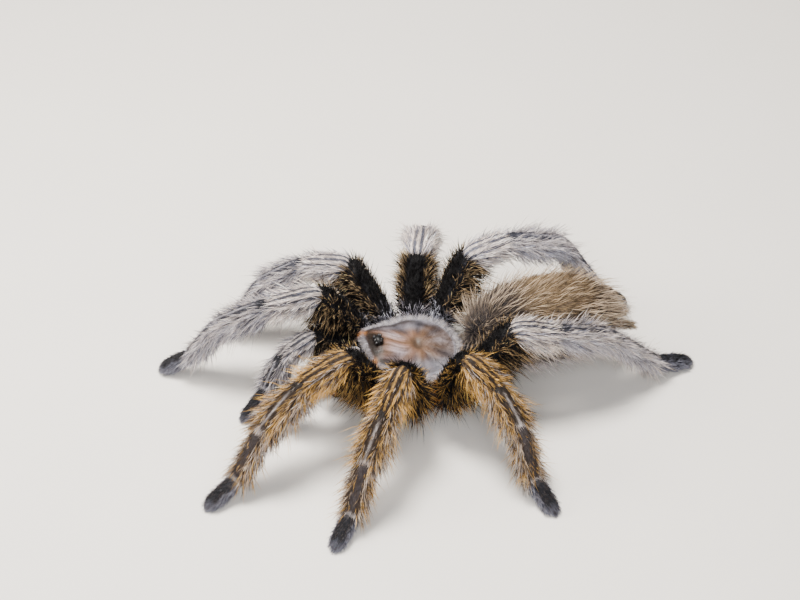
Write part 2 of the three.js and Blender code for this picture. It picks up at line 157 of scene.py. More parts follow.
ABDOMEN = {"centre": 30.2, "front": 18.9, "back": 18.8, "half_width": 13.2, "height": 12.5,
           "rise": 12.6, "drop": 10.8, "fullness": 0.12, "bluntness": 0.82}
# how far the abdomen's skin lies inside its solid; the faces are the top and the belly
ABDOMEN_COAT = {"sides": 3.8, "front": 1.5, "back": 2.6, "faces": 3.4}
SPINNERET = {"out": 1.9, "length": 6.2, "radius": 1.0, "height": 9, "climb": -12, "splay": 10}
# a spinneret's skin starts this far inside the end of the abdomen, a little higher and at this share
# of the way out, and is this much shorter than the length above
SPINNERET_ROOT = {"inside": 3.4, "rise": 0.7, "inward": 0.8, "shorter": 0.8}
SPINNERET_SKIN = 0.8  # radius of its skin as a share of the radius above
STERNUM = {"half_width": 6.6, "half_length": 8.8, "height": 6.4, "rise": 2.4, "drop": 2.2}
LABIUM = {"ahead": 9.2, "half_width": 2.4, "half_length": 1.8, "height": 6.4, "half_height": 1.9}
PEDICEL = {"radius": 1.6, "from": 6, "to": 16, "height": 7.6}
WAIST = (11, 13)  # where the colours of the front body give way to the abdomen's

shell_low, shell_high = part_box("carapace")
BODY_ORIGIN = np.array([
    (shell_low.x + shell_high.x) / 2,
    (shell_low.y + shell_high.y) / 2 - SHELL_BOX_MIDDLE * MM,
    0.0,
])

# ------------------------------------------------------------------------------------------------
# Properties
# ------------------------------------------------------------------------------------------------


def paint(code):
    """A colour written as a hex code, as the linear values that shaders use."""
    parts = [int(code[i:i + 2], 16) / 255 for i in (1, 3, 5)]
    return tuple(c / 12.92 if c <= 0.04045 else ((c + 0.055) / 1.055) ** 2.4 for c in parts)


def colour_property(label, description, code):
    return FloatVectorProperty(
        name=label, description=description, default=paint(code), size=3, min=0, max=1, subtype="COLOR"
    )


class TarantulaSizes(PropertyGroup):
    """Sizes that change how the spider is dressed."""

    skin_grid: FloatProperty(
        name="Skin grid", description="Spacing of the grid that the skin is made on",
        default=0.0004, min=0.0002, max=0.001, unit="LENGTH", precision=5)
    seta_width: FloatProperty(
        name="Long hair width", description="Width of a long hair at its root",
        default=0.00015, min=0.00002, max=0.0005, unit="LENGTH", precision=6)
    down_width: FloatProperty(
        name="Short hair width", description="Width of a short hair at its root",
        default=0.00015, min=0.00002, max=0.0005, unit="LENGTH", precision=6)
    coat_length: FloatProperty(
        name="Coat length", description="Length of every hair, as a share of its usual length",
        default=1.0, min=0.2, max=1.5, subtype="FACTOR")
    leg_setae: IntProperty(
        name="Long hairs on a leg", description="How many long hairs each leg has",
        default=8600, min=100, max=18000)
    leg_down: IntProperty(
        name="Short hairs on a leg", description="How many short hairs each leg has",
        default=14500, min=100, max=30000)


class TarantulaColours(PropertyGroup):
    """Colours of the coat, the shell and the stage."""

    jet: colour_property("Jet", "The blackest hair, on the thighs", "#080606")
    umber: colour_property("Umber", "Dark brown undercoat of the golden legs", "#3a2f27")
    charcoal: colour_property("Charcoal", "Dark grey undercoat of the pale legs", "#3f3f45")
    slate: colour_property("Slate", "Velvet of the feet", "#2c2b2e")
    gold: colour_property("Gold", "Long golden hair of the legs", "#dfab5a")
    rust: colour_property("Rust", "Orange-brown hair at the roots of the legs", "#a65f1c")
    cream: colour_property("Cream", "Pale warm hair", "#ead0ae")
    lilac: colour_property("Lilac", "Pale cool hair", "#e8e6f4")
    steel: colour_property("Steel", "Blue-grey hair", "#70717f")
    olive: colour_property("Olive", "Short hair on the top of the abdomen", "#8c765c")
    shell: colour_property("Shell", "Middle of the shell", "#5f4631")
    blush: colour_property("Blush", "Pinkish streaks of the shell", "#a0745f")
    horn: colour_property("Horn", "Fangs and claws", "#1d0f0b")
    eye: colour_property("Eye", "Glassy dark of the eyes", "#0b0808")
    floor: colour_property("Floor", "Plain floor", "#e4ddd3")


# ------------------------------------------------------------------------------------------------
# Helpers
# ------------------------------------------------------------------------------------------------


def placed(points):
    """Points of the body's own frame, in metres in the frame of the solids."""
    return np.asarray(points, float) * MM + BODY_ORIGIN


def unit(vectors):
    vectors = np.asarray(vectors, float)
    return vectors / np.maximum(np.linalg.norm(vectors, axis=-1, keepdims=True), 1e-9)


def ramp(value, low, high):
    """0 below low, 1 above high, and smooth between them."""
    t = np.clip((np.asarray(value, float) - low) / (high - low), 0, 1)
    return t * t * (3 - 2 * t)


def blend(first, second, share):
    share = np.asarray(share, float)
    return np.asarray(first) * (1 - share[..., None]) + np.asarray(second) * share[..., None]


def bump_at(value, centre, width):
    """1 at the centre, falling off on both sides over the width."""
    return np.exp(-(((np.asarray(value, float) - centre) / width) ** 2))


def palette(context):
    """The colours as arrays, by name."""
    colours = context.scene.tarantula_colours
    return {name: np.array(getattr(colours, name)) for name in TarantulaColours.__annotations__}


def leaning(along, away, lift):
    """Directions between two that are square to each other, lift being the angle from the first."""
    return along * np.cos(lift)[:, None] + away * np.sin(lift)[:, None]


def turns_around(steps):
    """Angles evenly spaced round a full turn."""
    return np.linspace(0, 2 * math.pi, steps, endpoint=False)


def finish_piece(name, mesh, material, nodes):
    """Puts a mesh in the scene as a smooth piece that stands for the named solids."""
    mesh.polygons.foreach_set("use_smooth", np.ones(len(mesh.polygons), bool))
    piece = bpy.data.objects.new(name, mesh)
    bpy.context.scene.collection.objects.link(piece)
    piece.data.materials.append(material)
    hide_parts(*nodes)
    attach(piece, "root")
    return piece


def add_colours(mesh, colours):
    layer = mesh.color_attributes.new(MARKS, "FLOAT_COLOR", "POINT")
    rgba = np.ones((len(mesh.vertices), 4), np.float32)
    rgba[:, :3] = np.clip(colours, 0, 1)
    layer.data.foreach_set("color", rgba.ravel())


def mesh_of(name, points, faces):
    """A mesh whose faces all have the same number of corners."""
    mesh = bpy.data.meshes.new(name)
    points, faces = placed(points).astype(np.float32), np.asarray(faces, np.int32)
    mesh.vertices.add(len(points))
    mesh.vertices.foreach_set("co", points.ravel())
    mesh.loops.add(faces.size)
    mesh.loops.foreach_set("vertex_index", faces.ravel())
    mesh.polygons.add(len(faces))
    mesh.polygons.foreach_set("loop_start", np.arange(0, faces.size, faces.shape[1], dtype=np.int32))
    mesh.update(calc_edges=True)
    return mesh


def joined(bodies):
    """One list of points and one of faces for several bodies."""
    points, faces, start = [], [], 0
    for body, body_faces in bodies:
        points.append(body)
        faces += [tuple(int(i) + start for i in face) for face in body_faces]
        start += len(body)
    return np.concatenate(points), faces


def body_mesh(name, points, faces):
    """A mesh whose faces may have different numbers of corners."""
    mesh = bpy.data.meshes.new(name)
    mesh.from_pydata(placed(points).tolist(), [], faces)
    return mesh


def tube(rings):
    """Points and faces of a closed tube through rings of points (stations, sides, 3). Each end is
    brought to a point."""
    stations, sides = rings.shape[:2]
    index = np.arange(stations * sides).reshape(stations, sides)
    ahead = np.roll(index, -1, axis=1)
    quads = np.stack([index[:-1], ahead[:-1], ahead[1:], index[1:]], -1).reshape(-1, 4)
    points = rings.reshape(-1, 3)
    first, last = len(points), len(points) + 1
    points = np.vstack([points, rings[0].mean(0), rings[-1].mean(0)])
    caps = [(first, b, a) for a, b in zip(index[0], ahead[0])]
    caps += [(last, a, b) for a, b in zip(index[-1], ahead[-1])]
    return points, [tuple(q) for q in quads] + caps


def ball(middle, halves, rows=24, sides=40):
    """Points and faces of a rounded body with its poles ahead and behind."""
    turn = np.linspace(0, math.pi, rows + 1)[1:-1]
    around = turns_around(sides)
    x = np.sin(turn)[:, None] * np.cos(around)
    y = -np.cos(turn)[:, None] * np.ones_like(around)
    z = np.sin(turn)[:, None] * np.sin(around)
    points, faces = tube(np.stack([x, y, z], -1))
    points[-2], points[-1] = (0, -1, 0), (0, 1, 0)
    return points * np.array(halves) + np.array(middle), faces


# ------------------------------------------------------------------------------------------------
# Materials
# ------------------------------------------------------------------------------------------------


class Finish:
    """A node material around one Principled shader, in metres of the object's own space."""

    MIX_SHARE, MIX_FIRST, MIX_SECOND, MIX_RESULT = 0, 6, 7, 2  # sockets of the mix node, as a colour

    def __init__(self, name, roughness, **settings):
        self.material = bpy.data.materials.new(name)
        self.material.use_nodes = True
        self.tree = self.material.node_tree
        self.shader = self.tree.nodes["Principled BSDF"]
        self.shader.inputs["Roughness"].default_value = roughness
        for socket, value in settings.items():
            self.shader.inputs[socket.replace("_", " ")].default_value = value
        self.place = self.add("ShaderNodeTexCoord").outputs["Object"]

    def feed(self, socket, value):
        """Links the value to the socket if it is a socket too, and sets it otherwise."""
        if isinstance(value, bpy.types.NodeSocket):
            self.tree.links.new(value, socket)
        else:
            socket.default_value = value

    def add(self, kind, **inputs):
        node = self.tree.nodes.new(kind)
        for key, value in inputs.items():
            self.feed(node.inputs[key.replace("_", " ")], value)
        return node

    def marks(self):
        node = self.add("ShaderNodeAttribute")
        node.attribute_name = MARKS
        return node.outputs["Color"]

    def noise(self, size, detail=3.0, roughness=0.55):
        """Noise whose blobs are about size millimetres across."""
        node = self.add("ShaderNodeTexNoise", Vector=self.place, Scale=1 / (size * MM), Detail=detail,
                        Roughness=roughness)
        return node.outputs["Fac"]

    def cells(self, size):
        node = self.add("ShaderNodeTexVoronoi", Vector=self.place, Scale=1 / (size * MM))
        return node.outputs["Distance"]

    def spread(self, value, low, high, from_low=0.3, from_high=0.7):
        node = self.add("ShaderNodeMapRange", Value=value)
        limits = {"From Min": from_low, "From Max": from_high, "To Min": low, "To Max": high}
        for key, number in limits.items():
            node.inputs[key].default_value = number
        return node.outputs["Result"]

    def shaded(self, colour, strength):
        """The colour made lighter and darker by a number around 1."""
        node = self.add("ShaderNodeVectorMath")
        node.operation = "SCALE"
        self.tree.links.new(colour, node.inputs[0])
        self.tree.links.new(strength, node.inputs["Scale"])
        return node.outputs["Vector"]

    def mixed(self, first, second, share):
        node = self.add("ShaderNodeMix")
        node.data_type = "RGBA"
        for number, value in ((self.MIX_FIRST, first), (self.MIX_SECOND, second), (self.MIX_SHARE, share)):
            self.feed(node.inputs[number], value)
        return node.outputs[self.MIX_RESULT]

    def colour(self, socket):
        self.tree.links.new(socket, self.shader.inputs["Base Color"])

    def rough(self, socket):
        self.tree.links.new(socket, self.shader.inputs["Roughness"])

    def bump(self, height, strength, depth):
        """Bump from a height of 0 to 1, depth in millimetres."""
        node = self.add("ShaderNodeBump", Strength=strength, Distance=depth * MM, Height=height)
        self.tree.links.new(node.outputs["Normal"], self.shader.inputs["Normal"])


def coat_finish():
    """Hair: the colour of each hair's own place, lighter and darker in streaks."""
    name = "Spider hair"
    if name in bpy.data.materials:
        return bpy.data.materials[name]
    finish = Finish(name, 0.5, Specular_IOR_Level=0.15)
    finish.colour(finish.shaded(finish.marks(), finish.spread(finish.noise(0.9), 0.8, 1.2)))
    finish.rough(finish.spread(finish.noise(0.5, detail=1.0), 0.42, 0.62))
    return finish.material


def skin_finish():
    """Skin under the coat: velvety, finely pitted where the hairs are rooted."""
    finish = Finish("Spider skin", 0.75, Specular_IOR_Level=0.3)
    finish.colour(finish.shaded(finish.marks(), finish.spread(finish.noise(0.35), 0.55, 1.1)))
    finish.rough(finish.spread(finish.noise(0.8), 0.6, 0.9))
    finish.bump(finish.cells(0.16), 0.5, 0.05)
    return finish.material


def shell_finish():
    """Shell of the back: satin and finely mottled, with small pits."""
    finish = Finish("Spider shell", 0.4, Specular_IOR_Level=0.3)
    fine = finish.spread(finish.noise(0.22, detail=4.0), 0.72, 1.2)
    finish.colour(finish.shaded(finish.marks(), fine))
    finish.rough(finish.spread(finish.noise(0.6), 0.38, 0.58))
    finish.bump(finish.noise(0.12, detail=4.0), 0.5, 0.05)
    return finish.material


def horn_finish(colours):
    """Fangs and claws: polished dark horn, red-brown where it is thin."""
    finish = Finish("Spider horn", 0.2)
    dark, warm = (*colours["horn"], 1), (*(colours["horn"] * 3 + 0.01), 1)
    finish.colour(finish.mixed(dark, warm, finish.spread(finish.noise(0.7), 0, 1, 0.45, 0.7)))
    finish.bump(finish.noise(0.15), 0.15, 0.02)
    return finish.material


def eye_finish(colours):
    """Eyes: glassy and almost black, under a clear coat."""
    finish = Finish("Spider eye", 0.1, Specular_IOR_Level=0.35, Coat_Weight=0.25, Coat_Roughness=0.03)
    dark, warm = (*colours["eye"], 1), (*(colours["eye"] * 4 + 0.004), 1)
    finish.colour(finish.mixed(dark, warm, finish.spread(finish.noise(0.3), 0, 1, 0.4, 0.7)))
    return finish.material


# ------------------------------------------------------------------------------------------------
# Limbs
# ------------------------------------------------------------------------------------------------


class Limb:
    """The middle line of one limb, from the inner end of its coxa to the tip of its foot, with a frame
    and the skin's radius along it."""

    STEP = 0.25
    ROUNDING = 1.3  # how far each side of a joint the middle line is rounded
    WAIST, WAIST_REACH = 0.14, 0.8  # how much narrower the skin is at a joint, and how far from it
    CAP = 1.2  # length of the rounded ends
    SLOPE_STEP = 0.2  # how far each side of a place its direction is taken

    def __init__(self, pair, side_name):
        self.name = f"{pair.split('_')[0]}_{side_name}" + (f"_{pair[-1]}" if pair != "palp" else "")
        self.palp = pair == "palp"
        side = SIDES[side_name]
        ahead, out, lengths, self.girth = LIMB_PAIRS[pair]
        thigh_heading, foot_heading, climbs, self.gold, self.painted_sheen = STANCE[(pair, side_name)]
        self.segments = [COXA, FEMUR, PATELLA, TIBIA] + ([TARSUS] if self.palp else [METATARSUS, TARSUS])
        hip = np.array([side * out, -ahead, PALP_HIP_HEIGHT if self.palp else HIP_HEIGHT])
        joints = [hip * (COXA_ROOT_REACH, COXA_ROOT_REACH, 0) + (0, 0, COXA_ROOT_HEIGHT), hip]
        for index, length in enumerate(lengths):
            share = (0, PATELLA_TURN)[index] if index < 2 else 1
            heading = math.radians(thigh_heading + (foot_heading - thigh_heading) * share)
            drop = (FOOT_TIP_HEIGHT - joints[-1][2]) / length
            climb = math.radians(climbs[index]) if index < len(climbs) else math.asin(drop)
            step = np.array([side * math.sin(heading) * math.cos(climb),
                             -math.cos(heading) * math.cos(climb), math.sin(climb)])
            joints.append(joints[-1] + step * length)
        self.joints = np.array(joints)
        self.nodes = [f"{self.node_stem(pair, side_name)}_{SEGMENTS[s]}" for s in self.segments[1:]]
        spans = np.linalg.norm(np.diff(self.joints, axis=0), axis=1)
        self.ends = np.concatenate([[0], np.cumsum(spans)])
        self.length = self.ends[-1]
        self.s = np.arange(0, self.length + self.STEP, self.STEP)
        self.middle = self.rounded(self.s)
        self.axis = unit(self.rounded(self.s + self.SLOPE_STEP) - self.rounded(self.s - self.SLOPE_STEP))
        self.across = unit(np.cross(self.axis, (0, 0, 1)))
        self.up = np.cross(self.across, self.axis)
        self.radius = self.skin_radius(self.s)

    @staticmethod
    def node_stem(pair, side_name):
        return f"palp_{side_name}" if pair == "palp" else f"leg_{side_name}_{pair[-1]}"

    def straight(self, s):
        """The unrounded middle line, carried on straight past both ends."""
        s = np.asarray(s, float)
        i = np.clip(np.searchsorted(self.ends, s, side="right") - 1, 0, len(self.segments) - 1)
        share = ((s - self.ends[i]) / (self.ends[i + 1] - self.ends[i]))[..., None]
        return self.joints[i] * (1 - share) + self.joints[i + 1] * share

    def rounded(self, s):
        offsets = np.linspace(-self.ROUNDING, self.ROUNDING, 9)
        return np.mean([self.straight(s + o) for o in offsets], axis=0)

    def locate(self, s):
        """Which segment each place is in, and how far along it as a share."""
        i = np.clip(np.searchsorted(self.ends, s, side="right") - 1, 0, len(self.segments) - 1)
        share = (s - self.ends[i]) / (self.ends[i + 1] - self.ends[i])
        return np.array(self.segments)[i], np.clip(share, 0, 1), i

    def skin_radius(self, s):
        kind, share, _ = self.locate(s)
        radius = np.zeros_like(s)
        for segment in self.segments:
            here = kind == segment
            radii = SKIN_RADII[segment]
            radius[here] = np.interp(share[here], np.linspace(0, 1, len(radii)), radii)
        for joint in self.ends[2:-1]:
            radius *= 1 - self.WAIST * bump_at(s, joint, self.WAIST_REACH)
        return radius * self.girth

    def at(self, s):
        """Middle, axis, across, up and radius at places along the limb."""
        pick = np.clip(s / self.STEP, 0, len(self.s) - 1.001)
        low = pick.astype(int)
        share = (pick - low)[:, None]
        frames = (self.middle, self.axis, self.across, self.up)
        mix = [a[low] * (1 - share) + a[low + 1] * share for a in frames]
        radius = self.radius[low] * (1 - share[:, 0]) + self.radius[low + 1] * share[:, 0]
        return mix[0], unit(mix[1]), unit(mix[2]), unit(mix[3]), radius

    def skin_rings(self, sides=24):
        """Rings of the skin, with rounded ends."""
        around = leaning(self.up[:, None], self.across[:, None], turns_around(sides))
        from_end = np.minimum(self.s, self.length - self.s)
        cap = np.clip(from_end / self.CAP, 0.0, 1)
        shrink = np.sqrt(np.maximum(1 - (1 - cap) ** 2, 0.02))
        return self.middle[:, None] + around * (self.radius * shrink)[:, None, None]


LIMBS = [Limb(pair, side) for pair, side in STANCE]

# where the marks of a limb fade in, as angles from its top in radians
MARK_ANGLES = {"side": (0.35, 0.85), "below": (1.0, 1.7), "belly": (1.0, 2.0), "thigh": (0.7, 1.15),
               "foot_hair": (0.6, 1.3), "foot_skin": (0.7, 1.5)}
# and as shares of the way along a segment: the pale ring at its end, the pale line along its top and
# the pale tip of a foot
MARK_SHARES = {"ring": (0.88, 0.97), "line": (0.12, 0.4), "foot_end": (0.75, 1.0)}
# the dark spot on top of a segment, behind a joint, and the pale patch at the root of a thigh
SPOT = {"share": 0.2, "fade": 0.1, "angle": 1.1, "angle_fade": 0.4}
THIGH_ROOT = {"share": 0.22, "fade": 0.14}
LINE_WIDTH = 0.12  # of the pale line along the top, in radians


def limb_tones(limb, hue):
    """The tones of one limb's coat by name. They run from cool to golden with the limb's gold, in part
    painted warm light, and are paler with its frost, a painted cool sheen."""
    gold, painted_sheen = limb.gold, limb.painted_sheen
    warm, golden = ramp(gold, 0.2, 0.7), ramp(gold, 0.35, 0.9)
    cool = blend(hue["charcoal"], hue["steel"], painted_sheen * 0.6)
    return {
        "dark": blend(cool, hue["umber"], warm * (1 - painted_sheen * 0.7)),
        "dull": blend(hue["steel"] * (0.9 + 0.5 * painted_sheen), hue["umber"], warm * (1 - painted_sheen)),
        "bright": blend(blend(hue["lilac"], hue["cream"], 0.5 + gold * 0.4), hue["gold"], golden),
        "knee": blend(blend(hue["lilac"], hue["cream"], 0.55 + gold * 0.35), hue["gold"], golden)
                * (1 + 0.15 * painted_sheen),
        "under": blend(blend(hue["lilac"], hue["steel"], 0.35 - 0.3 * painted_sheen), hue["cream"], 0.55 * gold),
        "pale": blend(hue["lilac"], hue["cream"], 0.15 + 0.4 * gold),
        "grey": blend(hue["steel"], hue["umber"] * 2, 0.6 * ramp(gold, 0.3, 0.9)),
        "fringe": blend(hue["cream"], hue["gold"], 0.35 + 0.65 * gold),
        "root": blend(hue["lilac"], hue["rust"], ramp(gold, 0.1, 0.9)),
    }


def limb_marks(limb, kind, share, angle, hue, layer):
    """Colour at places on a limb of its skin ("skin"), its short hair ("down") or the tips of its long
    hair ("seta"). kind is the segment, share runs along it and angle around it, 0 on top."""
    tone, gold = limb_tones(limb, hue), limb.gold
    off_top = np.abs(angle)
    round_it = {name: ramp(off_top, *angles) for name, angles in MARK_ANGLES.items()}
    along_it = {name: ramp(share, *shares) for name, shares in MARK_SHARES.items()}
    side, below, ring = round_it["side"], round_it["below"], along_it["ring"]
    line, stripes = bump_at(angle, 0, LINE_WIDTH), knee_stripes(angle, share, gold)
    spot = ramp(SPOT["share"] - share, 0, SPOT["fade"]) * ramp(SPOT["angle"] - off_top, 0, SPOT["angle_fade"])
    shine = blend(hue["steel"], hue["lilac"], 0.25)
    if layer == "seta":
        # the tops are darker with gold and paler with frost, the painted cool sheen
        back = blend(tone["bright"], tone["dark"], (0.4 + 0.55 * gold) * (1 - 0.6 * limb.painted_sheen) + 0 * share)
        thigh = blend(hue["jet"], tone["fringe"], round_it["thigh"])
        back = blend(back, tone["dark"] * 0.5, spot)
        bands = stripes * (1 - gold) * (0.75 - 0.4 * limb.painted_sheen)
        shin = blend(blend(back, tone["bright"], side), tone["dark"], bands)
        shin = blend(shin, tone["under"], below * 0.9)
        wrist = blend(blend(back, blend(tone["bright"], tone["under"], 0.5), side), tone["under"], below)
        root = ramp(THIGH_ROOT["share"] - share, 0, THIGH_ROOT["fade"])
        colours = {
            COXA: blend(tone["root"], tone["dark"], below * 0.7),
            FEMUR: blend(thigh, tone["root"], root * 0.85),
            PATELLA: blend(tone["knee"], tone["dark"], stripes * (0.95 - 0.2 * limb.painted_sheen)),
            TIBIA: blend(shin, tone["pale"], line * 0.7),
            METATARSUS: blend(wrist, tone["pale"], ring * 0.7),
            TARSUS: blend(hue["slate"] * 1.2, shine, round_it["foot_hair"] * 0.8),
        }
    else:
        cover = tone["dark"] if layer == "down" else tone["dark"] * 0.6
        belly = blend(cover, tone["pale"], round_it["belly"] * 0.45)
        shin = blend(belly, cover * 0.35, spot * 0.9)
        shin = blend(shin, tone["pale"], line * along_it["line"] * 0.55)
        wrist = blend(blend(belly, tone["grey"], (1 - side) * 0.4), tone["pale"], ring * 0.85)
        foot = blend(hue["slate"], hue["steel"], round_it["foot_skin"] * 0.5)
        colours = {
            COXA: blend(cover, hue["steel"], 0.2 + 0 * share),
            FEMUR: blend(hue["jet"], tone["dark"], 0.15 * side),
            PATELLA: blend(blend(cover, tone["knee"], 0.5 + 0.25 * limb.painted_sheen), cover * (1.3 - 0.5 * gold),
                           stripes),
            TIBIA: blend(shin, tone["pale"], ring * 0.7),
            METATARSUS: wrist,
            TARSUS: blend(foot, shine, along_it["foot_end"] * 0.5),
        }
    out = np.zeros((len(kind), 3))
    for segment, colour in colours.items():
        out[kind == segment] = colour[kind == segment]
    return out


def knee_stripes(angle, share, gold):
    """1 on the dark stripes that run along a knee and draw together towards its far end, which are
    wider on the golden limbs."""
    turned = angle * (1 + STRIPES_DRAW_IN * share)
    ridge = ramp(np.cos(turned * STRIPES), 0.8 * gold - 0.45, 0.55 + 0.4 * gold)
    return (1 - ridge) * ramp(STRIPES_END - np.abs(turned), 0, 0.4)


# ------------------------------------------------------------------------------------------------
# Hair
# ------------------------------------------------------------------------------------------------


class Coat:
    """Hairs gathered for one piece: each is a thin three-sided spike, bent once if it is long."""

    CORNERS = 3
    TAPER, PATCH_TAPER = 0.45, 0.5  # how much narrower a hair and its patch would be at the tip
    MAP_EDGE = 0.001  # margin of the bake map

    def __init__(self, name, seed):
        self.name = name
        self.seed, self.random = seed, np.random.default_rng(seed)
        self.points, self.faces, self.colours, self.places = [], [], [], []
        self.count = 0

    def grow(self, roots, headings, bends, lengths, width, root_colours, tip_colours, places, stations,
             darkening=2.0):
        """Adds hairs. A hair runs from its root along its heading, and its bend grows with the square
        of the way along it. darkening is how slowly the root's colour gives way to the tip's. Callers give
        darker roots and lighter tips: partly the hairs' own colours, partly painted shade deep in the
        coat and painted light on the tips."""
        number = len(roots)
        spin = self.random.uniform(0, 2 * math.pi, number)
        side = unit(np.cross(headings, self.random.normal(size=(number, 3))))
        other = np.cross(headings, side)
        points, colours, places_out = [], [], []
        for station in range(stations + 1):
            t = station / stations
            middle = roots + lengths[:, None] * (headings * t + bends * t * t)
            shade = blend(root_colours, tip_colours, np.full(number, t ** (1 / darkening)))
            if station == stations:
                points.append(middle[:, None])
                colours.append(shade[:, None])
                places_out.append((places + (0, PATCH / 2))[:, None])
                break
            radius = width / 2 * (1 - self.TAPER * t)
            for corner in range(self.CORNERS):
                around = leaning(side, other, spin + corner * 2 * math.pi / self.CORNERS)
                points.append((middle + around * radius)[:, None])
                colours.append(shade[:, None])
                shift = ((corner - 1) * PATCH / 2 * (1 - self.PATCH_TAPER * t), PATCH * (t - 0.5))
                places_out.append((places + shift)[:, None])
        each = self.CORNERS * stations + 1
        faces = []
        for station in range(stations):
            for corner in range(self.CORNERS):
                a, b = (station * self.CORNERS + c % self.CORNERS for c in (corner, corner + 1))
                if station == stations - 1:
                    faces.append((a, b, each - 1))
                else:
                    faces += [(a, b, b + self.CORNERS), (a, b + self.CORNERS, a + self.CORNERS)]
        base = self.count + np.arange(number)[:, None, None] * each
        self.faces.append((base + np.array(faces)[None]).reshape(-1, 3))
        self.points.append(np.concatenate(points, 1).reshape(-1, 3))
        self.colours.append(np.concatenate(colours, 1).reshape(-1, 3))
        self.places.append(np.concatenate(places_out, 1).reshape(-1, 2))
        self.count += number * each

    def per_lock(self, lock, values=1):
        """Random numbers around 0 that all the hairs of a lock share."""
        return np.random.default_rng(self.seed).normal(size=(LOCKS, values))[lock % LOCKS]

    def piece(self, slot, nodes):
        points = np.concatenate(self.points)
        points[:, 2] = np.maximum(points[:, 2], FLOOR_GAP)
        faces = np.concatenate(self.faces)
        mesh = mesh_of(self.name, points, faces)
        add_colours(mesh, np.concatenate(self.colours))
        places = np.clip(np.concatenate(self.places), self.MAP_EDGE, 1 - self.MAP_EDGE).astype(np.float32)
        layer = mesh.uv_layers.new(name=BAKE_MAP)
        layer.uv.foreach_set("vector", places[faces.ravel()].ravel())
        return finish_piece(self.name, mesh, coat_finish(), nodes)


LOCK_SHADE_SEED = 7
DARKEST, LIGHTEST = 0.35, 1.8  # how far a hair's colour may go from the one it is given


def varied(colours, random, spread=0.2, lock=None, lock_spread=0.16):
    """Colours that differ a little from hair to hair, and from lock to lock."""
    shade = random.normal(1.0, spread, len(colours))
    if lock is not None:
        shade = shade * np.random.default_rng(LOCK_SHADE_SEED).normal(1.0, lock_spread, LOCKS)[lock % LOCKS]
    return colours * np.clip(shade, DARKEST, LIGHTEST)[:, None]


def locks_of(along, around, stride):
    """The number of the lock that each hair is in, from its whole steps along and around the skin."""
    return along.astype(int) * stride + around.astype(int)


def turn_share(angle):
    """Angles from -pi to pi as shares of a turn."""
    return (angle + math.pi) / (2 * math.pi)


def inset(share, margin):
    """Shares drawn in by a margin at both ends."""
    return margin + (1 - 2 * margin) * share


# The long hairs of each segment on its top, on its sides and below: their length, how steeply they
# stand, and how many there are
SETA_LENGTHS = np.array([(2.2, 2.6, 3.0), (2.3, 3.6, 6.4), (1.4, 3.4, 4.0),
                         (1.3, 4.4, 4.8), (1.1, 3.5, 3.8), (1.0, 1.6, 1.6)])
SETA_LIFTS = np.array([(0.6, 0.7, 0.8), (0.55, 0.85, 1.2), (0.24, 0.7, 0.8),
                       (0.22, 0.8, 0.85), (0.2, 0.76, 0.8), (0.35, 0.6, 0.6)])
SETA_CROWDS = np.array([(0.6, 0.6, 0.6), (0.6, 0.9, 1.1), (0.5, 1.0, 0.6),
                        (0.22, 1.1, 0.8), (0.2, 1.0, 0.7), (0.3, 0.7, 0.6)])
DOWN_CROWDS = np.array([0.6, 0.8, 0.9, 1.1, 1.1, 1.8])  # how many short hairs each segment has
TOP_TO_SIDE, SIDE_TO_BELOW = (0.3, 1.1), (1.4, 2.3)  # angles from the top, in radians
LOCK_ALONG, LOCK_ROUND = 1.1, 0.3  # size of a lock on a limb, in millimetres and in radians
LOCK_STRIDE = 31  # from one row of locks to the next
ROOTED = 0.97  # hairs start at this share of the skin's radius
STRIPE_THINNING = 0.6  # how many fewer long hairs the dark stripes of a knee have
# the longest hairs, scattered among the others: how many there are, and how they differ
BRISTLES = {"share": 0.09, "length": 1.5, "lift": 0.25}
# long hairs are shorter behind a joint, and flare at the far end of a knee
JOINT = {"share": 0.17, "fade": 0.13, "shortening": 0.5}
KNEE_FLARE = {"lift": 0.2, "shares": (0.6, 0.9)}
# how many of the long hairs are dark, and what gold and frost, the painted cool sheen, make of it
DULL = {"knee": 0.1, "thigh": 0.68, "rest": 0.25, "gold": 0.15, "painted_sheen": 0.7}


def around_limb(table, kind, angle):
    """A value of one of the tables above at places around a limb."""
    rows, off_top = table[kind], np.abs(angle)
    value = rows[:, 0] + (rows[:, 1] - rows[:, 0]) * ramp(off_top, *TOP_TO_SIDE)
    return value + (rows[:, 2] - rows[:, 1]) * ramp(off_top, *SIDE_TO_BELOW)


def crowd_of(layer, limb, kind, share, angle):
    """How many hairs there are at places on a limb, the long ones fewer on the dark stripes of a knee."""
    if layer == "down":
        return DOWN_CROWDS[kind]
    thinning = STRIPE_THINNING * knee_stripes(angle, share, limb.gold) * (kind == PATELLA)
    return around_limb(SETA_CROWDS, kind, angle) * (1 - thinning)


